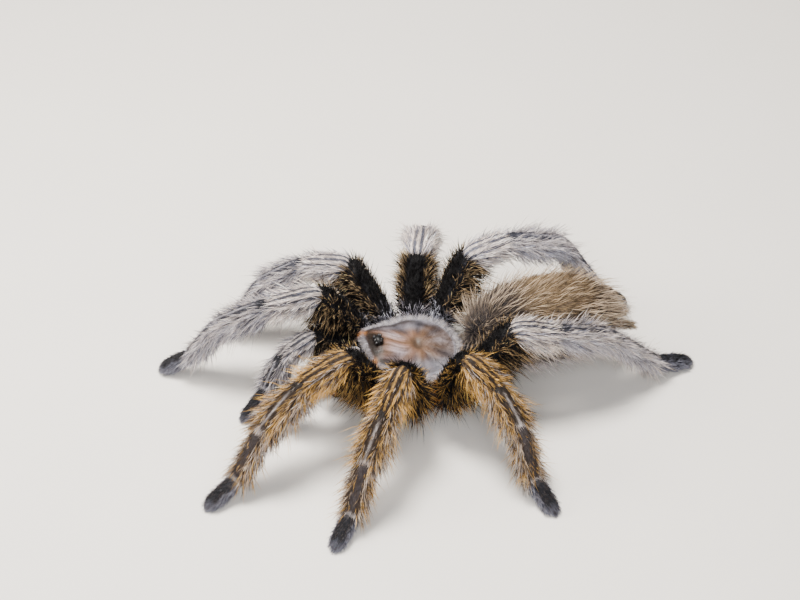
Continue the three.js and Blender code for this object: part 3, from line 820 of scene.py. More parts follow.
class Roots:
    """Where one layer of a limb's hairs starts, and the directions there."""

    TRIALS = 3  # how many places are tried for each hair
    START, PAST_TIP = 0.55, 0.4  # from this share of the coxa to this far past the tip of the foot
    TURN, ROUNDING = (1.6, 0.3), (1.3, 0.4)  # before and past the tip: hairs turn forward, the foot narrows

    def __init__(self, limb, random, number, layer):
        s, self.angle = self.chosen(limb, random, number, layer)
        self.kind, self.share, segment = limb.locate(s)
        middle, self.axis, across, up, radius = limb.at(s)
        outward = leaning(up, across, self.angle)
        tip = ramp(s, limb.length - self.TURN[0], limb.length + self.TURN[1])[:, None]
        self.normal = unit(outward * (1 - tip) + self.axis * tip * 1.4)
        end = ramp(s, limb.length - self.ROUNDING[0], limb.length + self.ROUNDING[1])
        shrink = np.sqrt(np.maximum(1 - end ** 2, 0.02))
        self.points = middle + outward * (radius * shrink * ROOTED)[:, None]
        self.around = np.cross(self.axis, outward)
        self.lock = locks_of(s / LOCK_ALONG, (self.angle + math.pi) / LOCK_ROUND, LOCK_STRIDE)
        row = (segment + inset(turn_share(self.angle), 0.04)) / len(limb.segments)
        self.places = np.stack([inset(self.share, 0.02), row], 1)

    def chosen(self, limb, random, number, layer):
        """How far along the limb each hair is, and its angle around it."""
        trial = number * self.TRIALS
        s = random.uniform(limb.ends[1] * self.START, limb.length + self.PAST_TIP, trial)
        angle = random.uniform(-math.pi, math.pi, trial)
        kind, share, _ = limb.locate(s)
        chance = crowd_of(layer, limb, kind, share, angle) * limb.at(s)[-1]
        keep = np.argsort(random.uniform(0, 1, trial) ** (1 / np.maximum(chance, 1e-3)))[-number:]
        return s[keep], angle[keep]


def grow_limb_down(coat, limb, hue, sizes, number):
    """Short hairs that lie flat along a limb."""
    random, at = coat.random, Roots(limb, coat.random, number, "down")
    lift = random.uniform(0.1, 0.35, number)
    lengths = random.uniform(0.7, 1.3, number) * np.where(at.kind == TARSUS, 0.85, 1.0)
    headings = unit(leaning(at.axis, at.normal, lift) + at.around * random.normal(0, 0.14, (number, 1)))
    colours = limb_marks(limb, at.kind, at.share, at.angle, hue, "down")
    colours = varied(colours, random, 0.2, at.lock, 0.1)
    # roots a darker and tips a lighter copy of each colour: painted shade and painted light
    coat.grow(at.points, headings, np.zeros_like(at.points), lengths * sizes.coat_length,
              sizes.down_width / MM, colours * 0.7, colours * 1.15, at.places, 1)


def grow_limb_setae(coat, limb, hue, sizes, number):
    """Long hairs that stand off the sides of a limb and hang below it."""
    random, at = coat.random, Roots(limb, coat.random, number, "seta")
    knee, thigh = at.kind == PATELLA, (at.kind == FEMUR) | (at.kind == COXA)
    sway = random.normal(size=(number, 2)) * 0.13
    sway = sway + coat.per_lock(at.lock, 2) * np.where(knee, 0.08, 0.24)[:, None]
    lift = around_limb(SETA_LIFTS, at.kind, at.angle) + random.normal(0, 0.16, number)
    lengths = around_limb(SETA_LENGTHS, at.kind, at.angle) * random.uniform(0.5, 1.15, number) * limb.girth
    behind = ramp(JOINT["share"] - at.share, 0, JOINT["fade"])
    behind = behind * ((at.kind == TIBIA) | (at.kind == METATARSUS))
    lengths = lengths * (1 - JOINT["shortening"] * behind)
    lift = lift + KNEE_FLARE["lift"] * knee * ramp(at.share, *KNEE_FLARE["shares"])
    bristle = (random.uniform(size=number) < BRISTLES["share"]) & (at.kind != TARSUS)
    lengths = lengths * np.where(bristle, BRISTLES["length"], 1.0)
    lift = lift + BRISTLES["lift"] * bristle
    hang = np.array((0, 0, -1)) * (0.35 * thigh * ramp(np.abs(at.angle), 1.2, 2.0))[:, None]
    headings = unit(leaning(at.axis, at.normal, lift) + hang
                    + at.around * sway[:, :1] + at.normal * sway[:, 1:] * 0.5)
    bends = at.axis * 0.14 - at.normal * 0.14 + np.array((0, 0, -0.12)) * thigh[:, None]
    base, tips = seta_colours(at, limb, random, hue, bristle)
    for group, slow in ((thigh, 0.33), (~thigh & ~knee, 0.8), (knee, 1.3)):
        # tips made lighter: painted light on the tips, over the hairs' own dark roots
        coat.grow(at.points[group], headings[group], bends[group], lengths[group] * sizes.coat_length,
                  sizes.seta_width / MM, base[group], tips[group] * 1.15, at.places[group], 2,
                  darkening=slow)


def seta_colours(at, limb, random, hue, bristle):
    """Colours of a limb's long hairs at their roots and at their tips: some are dull and some pale."""
    tone, painted_sheen = limb_tones(limb, hue), limb.painted_sheen
    colours = limb_marks(limb, at.kind, at.share, at.angle, hue, "seta")
    knee, thigh = at.kind == PATELLA, (at.kind == FEMUR) | (at.kind == COXA)
    strand = np.where(at.kind == TARSUS, 0.7, random.uniform(size=len(bristle)))
    # the painted cool sheen of the frost leaves fewer dull hairs and paler roots
    rest = (DULL["rest"] + DULL["gold"] * limb.gold) * (1 - DULL["painted_sheen"] * painted_sheen)
    dull = strand < np.select([knee, thigh], [DULL["knee"], DULL["thigh"]], rest)
    light = (strand > 0.75 + 0.2 * ramp(0.8 - np.abs(at.angle), 0, 0.3)) & ~thigh
    tips = np.where(dull[:, None], np.where(thigh[:, None], hue["jet"], tone["dull"]), colours)
    tips = np.where(light[:, None], blend(colours, tone["pale"], 0.55), tips)
    tips = np.where((bristle & ~thigh)[:, None], tone["bright"], tips)
    tips = varied(tips, random, 0.16, at.lock, 0.2)
    root = np.where(thigh[:, None], hue["jet"], tone["dark"])
    return blend(root, tips, np.where(knee, 0.3 + 0.4 * painted_sheen, 0.08 + 0.15 * painted_sheen)), tips


# ------------------------------------------------------------------------------------------------
# Body
# ------------------------------------------------------------------------------------------------


def outline_points(turns):
    """The shell's edge seen from above, at shares of a turn that starts at its front."""
    half = np.array(SHELL_OUTLINE, float)
    ring = np.vstack([half, half[1:-1][::-1] * (-1, 1)])
    count = len(ring)
    position = np.asarray(turns, float) % 1 * count
    i = position.astype(int) % count
    t = (position - np.floor(position))[..., None]
    p0, p1, p2, p3 = (ring[(i + k) % count] for k in (-1, 0, 1, 2))
    return 0.5 * (2 * p1 + (p2 - p0) * t + (2 * p0 - 5 * p1 + 4 * p2 - p3) * t ** 2
                  + (3 * p1 - p0 - 3 * p2 + p3) * t ** 3)


def hill(x, y, shape):
    """A rounded hill of height 1 centred on the middle line."""
    return np.exp(-((x / shape["half_width"]) ** 2) - ((y - shape["y"]) / shape["half_length"]) ** 2)


def shell_height(x, y, share):
    """Height of the shell above the floor, share being how far out it is towards the shell's edge."""
    dome = (THORAX_TOP - RIM_TOP) * (1 - share ** DOME_POWER)
    climb = HEAD_CLIMB["height"] * ramp(-y, HEAD_CLIMB["from"], HEAD_CLIMB["to"])
    bulge = HEAD_BULGE["height"] * hill(x, y, HEAD_BULGE)
    return RIM_TOP + dome + climb + bulge - FOVEA["depth"] * hill(x, y, FOVEA)


def from_fovea(x, y):
    """Distance from the shell's middle pit, and bearing from straight ahead, positive on the left."""
    return np.hypot(x, y - FOVEA["y"]), np.arctan2(x, -(y - FOVEA["y"]))


def shell_grooves(x, y):
    """1 in the grooves that run out from the middle pit and along both sides of the head, 0 between."""
    reach, bearing = from_fovea(x, y)
    grooves = np.zeros_like(x)
    for place, width in GROOVES:
        grooves = np.maximum(grooves, bump_at(np.abs(bearing), place, width))
    return grooves * ramp(reach, 1.5, 4.5)


def shell_streaks(x, y):
    """Uneven streaks from 0 to 1, which run along the head and radiate from the middle pit elsewhere."""
    reach, bearing = from_fovea(x, y)
    radial = np.sin(bearing * 7 + 2.2 * np.sin(bearing * 3 + 0.4 * reach))
    radial = radial + 0.3 * np.sin(bearing * 26 + reach * 0.5)
    along = np.sin(x * 3.1 + 1.4 * np.sin(y * 0.5)) + 0.7 * np.sin(x * 7.3 + 1.2 * np.sin(y * 0.9 + x))
    head = ramp(0.8 - np.abs(bearing), 0, 0.35)
    blots = np.sin(x * 0.9 + 1.3 * np.sin(y * 0.7)) * np.sin(y * 0.8 + 1.1 * np.sin(x * 0.6))
    return np.clip(0.5 + (0.12 * radial + 0.25 * blots) * (1 - head) + 0.3 * along * head, 0, 1)


def shell_marks(x, y, share, hue):
    """Colour of the shell and its down."""
    reach, _ = from_fovea(x, y)
    streaks, flank = shell_streaks(x, y), ramp(np.abs(x), 3.2, 6.8)
    colour = blend(hue["shell"], hue["blush"], streaks * ramp(reach, 0.5, 4) * ramp(-y, -6, 1) * 0.6)
    # grey-lilac on the flanks is a painted cool sheen, put on both sides; the same tone greys the back of the
    # shell
    grey = blend(hue["steel"] * 0.15, hue["lilac"] * 0.36, np.clip(streaks * 1.5 - 0.3, 0, 1))
    colour = blend(colour, grey, np.maximum(flank * 0.8, ramp(y, 1, 6) * 0.4))
    # painted shade in the grooves, stronger out on the flanks
    colour = blend(colour, hue["steel"] * 0.18, shell_grooves(x, y) * (0.25 + 0.35 * ramp(np.abs(x), 2, 4)))
    colour = blend(colour, hue["lilac"] * 0.55, ramp(share, 0.86, 0.95) * 0.8)
    # a dark band just inside the rim over the front and middle: painted shade, put on both sides
    colour = blend(colour, hue["umber"] * 0.4, bump_at(share, 0.85, 0.06) * 0.85 * ramp(-y, -5, 2))
    # a painted highlight: pale pink-lilac on each side of the head, strongest on the pinkish streaks
    highlight_pink = blend(hue["blush"], hue["lilac"], 0.55)
    colour = blend(colour, highlight_pink, soft_patch(x, y, PAINTED_HIGHLIGHT) * (0.2 + 0.6 * streaks))
    # painted shade in the middle pit
    colour = blend(colour, hue["umber"], np.clip(hill(x, y, FOVEA) * 1.6, 0, 1) * 0.7)
    colour = blend(colour, hue["umber"] * 0.25, np.clip(soft_patch(x, y, MASK) * 2.2, 0, 1) * 0.9)
    return blend(colour, orange_of(hue), np.clip(soft_patch(x, y, CORNER) * 1.4, 0, 1) * 0.9)


def soft_patch(x, y, shape):
    """1 in the middle of a patch that is alike on both sides of the shell, falling off all round."""
    return bump_at(np.abs(x), shape["x"], shape["half_width"]) * bump_at(y, shape["y"], shape["half_length"])


def orange_of(hue):
    """Orange of the hair at the shell's front corners."""
    return blend(hue["rust"], hue["gold"], 0.2)


def abdomen_point(directions):
    """A point of the abdomen's skin in a direction from its middle, and the outward normal there."""
    x, y, z = directions.T
    full = 1 + ABDOMEN["fullness"] * y * (1 - y ** 2)
    along = np.where(y > 0, y, -np.abs(y) ** ABDOMEN["bluntness"])
    half = np.stack([
        (ABDOMEN["half_width"] - ABDOMEN_COAT["sides"]) * full,
        np.where(y > 0, ABDOMEN["back"] - ABDOMEN_COAT["back"], ABDOMEN["front"] - ABDOMEN_COAT["front"]),
        np.where(z > 0, ABDOMEN["rise"], ABDOMEN["drop"]) - ABDOMEN_COAT["faces"],
    ], 1)
    points = np.stack([x, along, z], 1) * half + np.array([0, ABDOMEN["centre"], ABDOMEN["height"]])
    return points, unit(directions / half)


def abdomen_patch(directions):
    """1 on the patch of short hair on top of the abdomen."""
    _, y, z = directions.T
    return ramp(z, 0.5, 0.85) * ramp(y, -0.5, -0.1) * ramp(0.8 - y, 0, 0.3)


def abdomen_marks(directions, hue, layer):
    """Colour of the abdomen in directions from its middle: its skin and short hair ("down"), or the tips
    of its long hair ("seta")."""
    low = ramp(-directions[:, 2], -0.2, 0.5)
    if layer == "seta":
        tan = blend(blend(hue["cream"], hue["gold"], 0.25), hue["lilac"], 0.12 + 0.5 * low)
        return blend(tan, hue["gold"] * 0.75, abdomen_patch(directions) * 0.25)
    flank = blend(blend(hue["charcoal"], hue["umber"], 0.5) * 0.8, hue["steel"] * 0.6, low * 0.6)
    return blend(flank, hue["olive"], abdomen_patch(directions) * 0.9)


def body_marks(points, hue):
    """Colour of skin that belongs to no limb."""
    directions = unit((points - (0, ABDOMEN["centre"], ABDOMEN["height"]))
                      / (ABDOMEN["half_width"], ABDOMEN["back"], ABDOMEN["rise"]))
    marks = abdomen_marks(directions, hue, "down") * 0.7
    return blend(np.broadcast_to(hue["jet"] * 1.4, marks.shape), marks, ramp(points[:, 1], *WAIST))


def jaw_section(share):
    """Half width, rise, drop and axis height of a jaw, from its root to its tip."""
    places = np.linspace(0, 1, len(JAW_RISES))
    height = JAW["base_height"] + (JAW["tip_height"] - JAW["base_height"]) * share
    end = np.sqrt(np.maximum(1 - ramp(share, 0.82, 1.04) ** 2, 0.03))
    return (np.interp(share, places, JAW_HALF_WIDTHS) * end, np.interp(share, places, JAW_RISES) * end,
            np.interp(share, places, JAW_DROPS) * end, height)


def jaw_point(side, share, angle):
    """A point of a jaw's skin and the outward normal there, angle 0 being on top."""
    half, rise, drop, height = jaw_section(share)
    half, rise, drop = half - JAW_COAT / 2, rise - JAW_COAT, drop - JAW_COAT
    upright = np.where(np.cos(angle) > 0, rise, drop)
    points = np.stack([side * JAW["out"] + np.sin(angle) * half, -JAW["base"] - share * JAW["length"],
                       height + np.cos(angle) * upright], -1)
    tip = ramp(share, 0.7, 1.0)
    normal = unit(np.stack([np.sin(angle) * (1 - 0.7 * tip), -0.15 - tip,
                            np.cos(angle) * (1 - 0.7 * tip)], -1))
    return points, normal


def jaw_marks(angle, hue, layer):
    """Colour of a jaw's skin ("skin") or hair ("seta") at angles around it."""
    below = ramp(np.abs(angle), 1.3, 2.0)
    if layer == "skin":
        return blend(blend(hue["shell"], hue["steel"], 0.5), hue["jet"], below)
    return blend(blend(hue["cream"], hue["lilac"], 0.6), hue["rust"] * 0.7, below)


def mound_foot():
    """The middle of the eye mound, sunk a little into the shell."""
    share = EYE_MOUND["ahead"] / -SHELL_OUTLINE[0][1]
    height = shell_height(0.0, -EYE_MOUND["ahead"], share)
    return np.array([0, -EYE_MOUND["ahead"], height - EYE_MOUND["sunk"]])


def spinneret_line(side, t):
    """The middle line of a spinneret at shares of its length, and its directions along, across and up."""
    start = np.array([side * SPINNERET["out"] * SPINNERET_ROOT["inward"],
                      ABDOMEN["centre"] + ABDOMEN["back"] - SPINNERET_ROOT["inside"],
                      SPINNERET["height"] + SPINNERET_ROOT["rise"]])
    splay, climb = math.radians(SPINNERET["splay"]), math.radians(SPINNERET["climb"])
    along = np.array([side * math.sin(splay) * math.cos(climb), math.cos(splay) * math.cos(climb),
                      math.sin(climb)])
    across = unit(np.cross(along, (0, 0, 1)))
    middle = start + along * (t * (SPINNERET["length"] - SPINNERET_ROOT["shorter"]))[:, None]
    return middle, along, across, np.cross(across, along)


def spinneret_radius(t):
    """The skin's radius at shares of a spinneret's length, narrower at its two joints."""
    joints = bump_at(t, 0.45, 0.03) + bump_at(t, 0.75, 0.03)
    radius = SPINNERET["radius"] * SPINNERET_SKIN * (1 - 0.35 * t) * (1 - 0.2 * joints)
    return radius * np.sqrt(np.maximum(1 - ramp(t, 0.86, 1.02) ** 2, 0.03))


# ------------------------------------------------------------------------------------------------
# Operators
# ------------------------------------------------------------------------------------------------


def all_nodes(*stems):
    return [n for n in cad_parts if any(n.startswith(stem) for stem in stems)]


class TARANTULA_OT_stage(Operator):
    """Camera, soft studio light and a plain pale floor"""

    bl_idname = "tarantula.stage"
    bl_label = "Stage"

    AZIMUTH, ELEVATION, DISTANCE = 75.13, 40.0, 473.6
    TARGET = (-29.42, 4.77, 0)
    FOCAL_LENGTH, SENSOR = 90, 36
    NEAREST = 0.01
    SKY, SKY_STRENGTH = (0.93, 0.95, 1, 1), 0.2
    # name, place, width of the disk, power and tint of each lamp
    LAMPS = (
        ("Key", (-80, -60, 450), 180, 6.0, (1, 0.98, 0.95)),
        ("Fill", (330, -80, 240), 300, 1.9, (0.92, 0.95, 1)),
        ("Front", (-60, -330, 200), 240, 1.4, (1, 0.97, 0.94)),
    )
    FLOOR_HALF, CLOUD = 3000, 40  # half the floor's width, and the size of its faint clouds

    def execute(self, context):
        turn, lift = math.radians(self.AZIMUTH), math.radians(self.ELEVATION)
        level = np.array([-math.sin(turn), math.cos(turn), 0])
        forward = math.cos(lift) * level - math.sin(lift) * np.array([0, 0, 1])
        eye = placed(np.array(self.TARGET) - self.DISTANCE * forward)
        camera = bpy.data.objects.new("Camera", bpy.data.cameras.new("Camera"))
        camera.data.lens, camera.data.sensor_width = self.FOCAL_LENGTH, self.SENSOR
        camera.data.sensor_fit = "HORIZONTAL"
        camera.data.clip_start = self.NEAREST
        camera.location = eye
        camera.rotation_euler = Vector(forward).to_track_quat("-Z", "Y").to_euler()
        context.scene.collection.objects.link(camera)
        context.scene.camera = camera

        world = bpy.data.worlds.new("Studio")
        world.use_nodes = True
        sky = world.node_tree.nodes["Background"].inputs
        sky["Color"].default_value, sky["Strength"].default_value = self.SKY, self.SKY_STRENGTH
        context.scene.world = world
        for name, place, size, power, tint in self.LAMPS:
            lamp = bpy.data.lights.new(name, "AREA")
            lamp.shape, lamp.size, lamp.energy, lamp.color = "DISK", size * MM, power, tint
            thing = bpy.data.objects.new(name, lamp)
            thing.location = placed(place)
            thing.rotation_euler = (-Vector(placed(place))).to_track_quat("-Z", "Y").to_euler()
            context.scene.collection.objects.link(thing)

        corners = np.array([[-1, -1, 0], [1, -1, 0], [1, 1, 0], [-1, 1, 0]]) * self.FLOOR_HALF
        mesh = mesh_of("Floor", corners, [[0, 1, 2, 3]])
        floor = bpy.data.objects.new("Floor", mesh)
        context.scene.collection.objects.link(floor)
        finish = Finish("Pale floor", 0.85)
        tone = palette(context)["floor"]
        finish.colour(finish.mixed((*tone, 1), (*(tone * 0.93), 1), finish.noise(self.CLOUD)))
        floor.data.materials.append(finish.material)
        return {"FINISHED"}


class TARANTULA_OT_skin(Operator):
    """One skin over the limbs, the underside, the abdomen and the spinnerets"""

    bl_idname = "tarantula.skin"
    bl_label = "Skin"

    SMOOTHING, PASSES = 0.5, 3
    REACH, SLACK = 1.35, 0.4  # how near a limb's middle line its markings hold: radii, and more

    def execute(self, context):
        rough = body_mesh("Skin rough", *joined(self.bodies()))
        helper = bpy.data.objects.new("Skin rough", rough)
        context.scene.collection.objects.link(helper)
        remesh = helper.modifiers.new("Remesh", "REMESH")
        remesh.mode, remesh.voxel_size = "VOXEL", context.scene.tarantula_sizes.skin_grid
        smooth = helper.modifiers.new("Smooth", "SMOOTH")
        smooth.factor, smooth.iterations = self.SMOOTHING, self.PASSES
        mesh = bpy.data.meshes.new_from_object(helper.evaluated_get(context.evaluated_depsgraph_get()))
        bpy.data.objects.remove(helper)
        if not len(mesh.polygons):
            raise RuntimeError("the skin came out empty")
        mesh.name = "Skin"
        co = np.zeros(len(mesh.vertices) * 3, np.float32)
        mesh.vertices.foreach_get("co", co)
        co = co.reshape(-1, 3).astype(float)
        co[:, 2] = np.maximum(co[:, 2], FLOOR_GAP * MM)
        mesh.vertices.foreach_set("co", co.astype(np.float32).ravel())
        add_colours(mesh, self.colours((co - BODY_ORIGIN) / MM, palette(context)))
        nodes = all_nodes("leg_", "palp_", "underside", "abdomen", "spinneret_")
        finish_piece("Skin", mesh, skin_finish(), nodes)
        return {"FINISHED"}

    def bodies(self):
        """Closed bodies that overlap, which the remeshing joins into one skin."""
        bodies = [tube(limb.skin_rings()) for limb in LIMBS]
        for depth in (STERNUM["rise"], STERNUM["drop"]):
            halves = (STERNUM["half_width"], STERNUM["half_length"], depth)
            bodies.append(ball((0, 0, STERNUM["height"]), halves))
        bodies.append(ball((0, -LABIUM["ahead"], LABIUM["height"]),
                           (LABIUM["half_width"], LABIUM["half_length"], LABIUM["half_height"])))
        bodies.append(ball((0, (PEDICEL["from"] + PEDICEL["to"]) / 2, PEDICEL["height"]),
                           (PEDICEL["radius"], (PEDICEL["to"] - PEDICEL["from"]) / 2 + 1, PEDICEL["radius"])))
        sphere, faces = ball((0, 0, 0), (1, 1, 1), 60, 72)
        bodies.append((abdomen_point(sphere)[0], faces))
        return bodies + [self.spinneret(side) for side in SIDES.values()]

    @staticmethod
    def spinneret(side, stations=40, sides=16):
        """A finger of three joints that tapers backwards."""
        t = np.linspace(0, 1, stations)
        middle, _, across, up = spinneret_line(side, t)
        around = leaning(up, across, turns_around(sides))
        return tube(middle[:, None] + around[None] * spinneret_radius(t)[:, None, None])

    def colours(self, points, hue):
        """Each point takes the markings of the nearest limb, or of the body where no limb is near."""
        tree = KDTree(sum(len(limb.s) for limb in LIMBS))
        owners = []
        for number, limb in enumerate(LIMBS):
            for step, middle in enumerate(limb.middle):
                tree.insert(Vector(middle), len(owners))
                owners.append((number, step))
        tree.balance()
        owners = np.array(owners)
        nearest = np.array([tree.find(Vector(p))[1:] for p in points])
        number, step = owners[nearest[:, 0].astype(int)].T
        colours = body_marks(points, hue)
        for i, limb in enumerate(LIMBS):
            mine = np.flatnonzero(number == i)
            mine = mine[nearest[mine, 1] < limb.radius[step[mine]] * self.REACH + self.SLACK]
            steps = step[mine]
            away = points[mine] - limb.middle[steps]
            angle = np.arctan2((away * limb.across[steps]).sum(1), (away * limb.up[steps]).sum(1))
            kind, share, _ = limb.locate(limb.s[steps])
            colours[mine] = limb_marks(limb, kind, share, angle, hue, "skin")
        return colours


class TARANTULA_OT_shell(Operator):
    """The hard shell over the back of the head and legs, and the mound that carries the eyes"""

    bl_idname = "tarantula.shell"
    bl_label = "Shell"

    TURNS, ROWS, LIP_ROWS = 288, 64, 8
    LIP = {"from": 0.92, "round_from": 0.93, "drop": 0.5}  # shares of the way out, and how far it drops
    UNDERSIDE = ((0.99, 0.25), (0.95, 0), (0.5, 0), (0.05, 0))  # share of the way out, and rise of each ring
    RELIEF = 0.04  # height of the streaks
    MOUND_CORNERS = 0.86  # how square the mound is: 1 is round

    def execute(self, context):
        hue = palette(context)
        self.add_plate(hue)
        self.add_mound(hue)
        return {"FINISHED"}

    def add_plate(self, hue):
        edge = outline_points(np.linspace(0, 1, self.TURNS, endpoint=False)) * SHELL_TRIM
        rings, colours = [], []
        start = self.LIP["from"]
        lip = start + (1 - start) * np.sin(np.linspace(0, math.pi / 2, self.LIP_ROWS + 1)[1:])
        for share in np.concatenate([np.linspace(0.02, start, self.ROWS), lip]):
            x, y = (edge * share).T
            level = np.full(len(x), share * SHELL_TRIM)
            off_edge = ramp(1 - share, 0, 0.2)
            z = shell_height(x, y, level) - GROOVE_DEPTH * shell_grooves(x, y) * off_edge
            z = z + self.RELIEF * (shell_streaks(x, y) - 0.5) * (ramp(share, 0.25, 0.6) * off_edge)
            into_lip = max((share - self.LIP["round_from"]) / (1 - self.LIP["round_from"]), 0)
            z = z - self.LIP["drop"] * (1 - math.sqrt(max(1 - into_lip ** 2, 0)))
            rings.append(np.stack([x, y, z], 1))
            colours.append(shell_marks(x, y, level, hue))
        for share, rise in self.UNDERSIDE:
            x, y = (edge * share).T
            rings.append(np.stack([x, y, np.full(len(x), RIM_UNDERSIDE + rise)], 1))
            colours.append(np.broadcast_to(hue["umber"], (len(x), 3)))
        mesh = body_mesh("Carapace", *tube(np.array(rings)))
        add_colours(mesh, np.concatenate(colours + [colours[0][:1], colours[-1][:1]]))
        finish_piece("Carapace", mesh, shell_finish(), ["carapace"])

    def add_mound(self, hue):
        sphere, faces = ball((0, 0, 0), (1, 1, 1), 28, 40)
        squared = np.sign(sphere) * np.abs(sphere) ** self.MOUND_CORNERS
        mesh = body_mesh("Eye mound", squared * MOUND_HALF * MOUND_BARE + mound_foot(), faces)
        top = ramp(sphere[:, 2], 0.1, 0.7)
        add_colours(mesh, blend(hue["umber"] * 0.3, hue["jet"] * 0.6, top))
        finish_piece("Eye_mound", mesh, shell_finish(), ["eye_mound"])


class TARANTULA_OT_eyes(Operator):
    """Eight eyes set into the mound, four a side"""

    bl_idname = "tarantula.eyes"
    bl_label = "Eyes"

    def execute(self, context):
        balls = []
        for out, ahead, lift, radius in EYES:
            for side in SIDES.values():
                middle = mound_foot() + np.array([out * side, -ahead, lift]) * MOUND_HALF
                balls.append(ball(middle, (radius, radius, radius), 16, 24))
        mesh = body_mesh("Eyes", *joined(balls))
        finish_piece("Eyes", mesh, eye_finish(palette(context)), ["eye_mound"])
        return {"FINISHED"}


class TARANTULA_OT_jaws(Operator):
    """The two jaws that carry the fangs"""

    bl_idname = "tarantula.jaws"
    bl_label = "Jaws"

    STATIONS, AROUND = 44, 36

    def execute(self, context):
        hue = palette(context)
        grids = np.meshgrid(np.linspace(0, 1, self.STATIONS), turns_around(self.AROUND), indexing="ij")
        share, angle = (grid.ravel() for grid in grids)
        material = skin_finish()
        for name, side in SIDES.items():
            rings, _ = jaw_point(side, share, angle)
            points, faces = tube(rings.reshape(self.STATIONS, self.AROUND, 3))
            mesh = body_mesh(f"Jaw_{name}", points, [tuple(reversed(face)) for face in faces])
            turned = (angle + math.pi) % (2 * math.pi) - math.pi
            marks = jaw_marks(turned, hue, "skin")
            add_colours(mesh, np.vstack([marks, marks[:1], marks[-1:]]))
            finish_piece(f"Jaw_{name}", mesh, material, [f"chelicera_{name}"])
        return {"FINISHED"}


class TARANTULA_OT_fangs(Operator):
    """Two fangs folded back under the jaws"""

    bl_idname = "tarantula.fangs"
    bl_label = "Fangs"

    STATIONS, AROUND = 40, 24

    def execute(self, context):
        material = horn_finish(palette(context))
        root, bend, tip = (np.array(p, float) for p in FANG_POINTS)
        t = np.linspace(0, 1, self.STATIONS)[:, None]
        line = root * (1 - t) ** 2 + 2 * bend * t * (1 - t) + tip * t ** 2
        slope = unit(np.gradient(line, axis=0))
        turn = turns_around(self.AROUND)
        thick = FANG_THICKNESS[0] + (FANG_THICKNESS[1] - FANG_THICKNESS[0]) * t[:, 0] ** 0.9
        thick = thick * np.sqrt(np.maximum(1 - ramp(t[:, 0], 0.9, 1.01) ** 2, 0.02))
        for name, side in SIDES.items():
            rings = np.zeros((self.STATIONS, self.AROUND, 3))
            rings[:, :, 0] = side * JAW["out"] + thick[:, None] * np.cos(turn)
            rings[:, :, 1] = line[:, :1] - slope[:, 1:] * thick[:, None] * np.sin(turn)
            rings[:, :, 2] = line[:, 1:] + slope[:, :1] * thick[:, None] * np.sin(turn)
            mesh = body_mesh(f"Fang_{name}", *tube(rings))
            finish_piece(f"Fang_{name}", mesh, material, [f"fang_{name}"])
        return {"FINISHED"}


class TARANTULA_OT_claws(Operator):
    """Two small hooked claws at the tip of every foot"""

    bl_idname = "tarantula.claws"
    bl_label = "Claws"

    LENGTH, THICKNESS, APART = 1.1, 0.16, 0.32
    STATIONS, AROUND = 14, 10
    INSIDE, RISE = 0.3, 0.35  # how far its root is inside the foot, and above the foot's middle
    ARCH, HOOK = 0.3, 0.35  # how far it arches up, and how far its tip turns down
    LOWEST = 0.04  # how far above the floor a claw stays

    def execute(self, context):
        claws = []
        t = np.linspace(0, 1, self.STATIONS)
        for limb in LIMBS:
            axis = unit(limb.axis[-1] * (1, 1, 0.2))
            across = unit(np.cross(axis, (0, 0, 1)))
            up = np.cross(across, axis)
            for side in ((1, -1) if not limb.palp else (0,)):
                root = limb.joints[-1] - axis * self.INSIDE + across * side * self.APART + up * self.RISE
                line = (root + axis * (t * self.LENGTH)[:, None]
                        + up * (self.ARCH * np.sin(t * math.pi) - self.HOOK * t)[:, None])
                thick = self.THICKNESS * (1 - 0.85 * t)
                around = leaning(up, across, turns_around(self.AROUND))
                rings = line[:, None] + around[None] * thick[:, None, None]
                rings[..., 2] = np.maximum(rings[..., 2], self.LOWEST)
                claws.append(tube(rings))
        mesh = body_mesh("Claws", *joined(claws))
        nodes = [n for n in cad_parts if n.endswith("_tarsus")]
        finish_piece("Claws", mesh, horn_finish(palette(context)), nodes)
        return {"FINISHED"}


def dress_limbs(context, limbs, first_seed, share):
    """A coat for each limb, share being how many of the hairs of a leg it has."""
    hue, sizes = palette(context), context.scene.tarantula_sizes
    for seed, limb in enumerate(limbs):
        coat = Coat(f"Coat_{limb.name}", first_seed + seed)
        grow_limb_down(coat, limb, hue, sizes, int(sizes.leg_down * share))
        grow_limb_setae(coat, limb, hue, sizes, int(sizes.leg_setae * share))
        coat.piece("leg_coat", limb.nodes)


class TARANTULA_OT_leg_coats(Operator):
    """The coats of the eight legs, one piece for each leg"""

    bl_idname = "tarantula.leg_coats"
    bl_label = "Leg coats"

    FIRST_SEED = 100

    def execute(self, context):
        dress_limbs(context, [limb for limb in LIMBS if not limb.palp], self.FIRST_SEED, 1)
        return {"FINISHED"}


class TARANTULA_OT_palp_coats(Operator):
    """The coats of the two palps beside the jaws"""

    bl_idname = "tarantula.palp_coats"
    bl_label = "Palp coats"

    FIRST_SEED = 200
    SHARE = 0.6  # of the hairs of a leg

    def execute(self, context):
        dress_limbs(context, [limb for limb in LIMBS if limb.palp], self.FIRST_SEED, self.SHARE)
        return {"FINISHED"}


def headings_over(normal, flow, lift, sideways):
    """The flow laid along the skin, and directions of hairs that follow it, lifted off the skin and
    turned sideways."""
    flow = unit(flow - normal * (flow * normal).sum(1)[:, None])
    around = np.cross(normal, flow)
    return flow, unit(leaning(flow, normal, lift) + around * sideways[:, None])


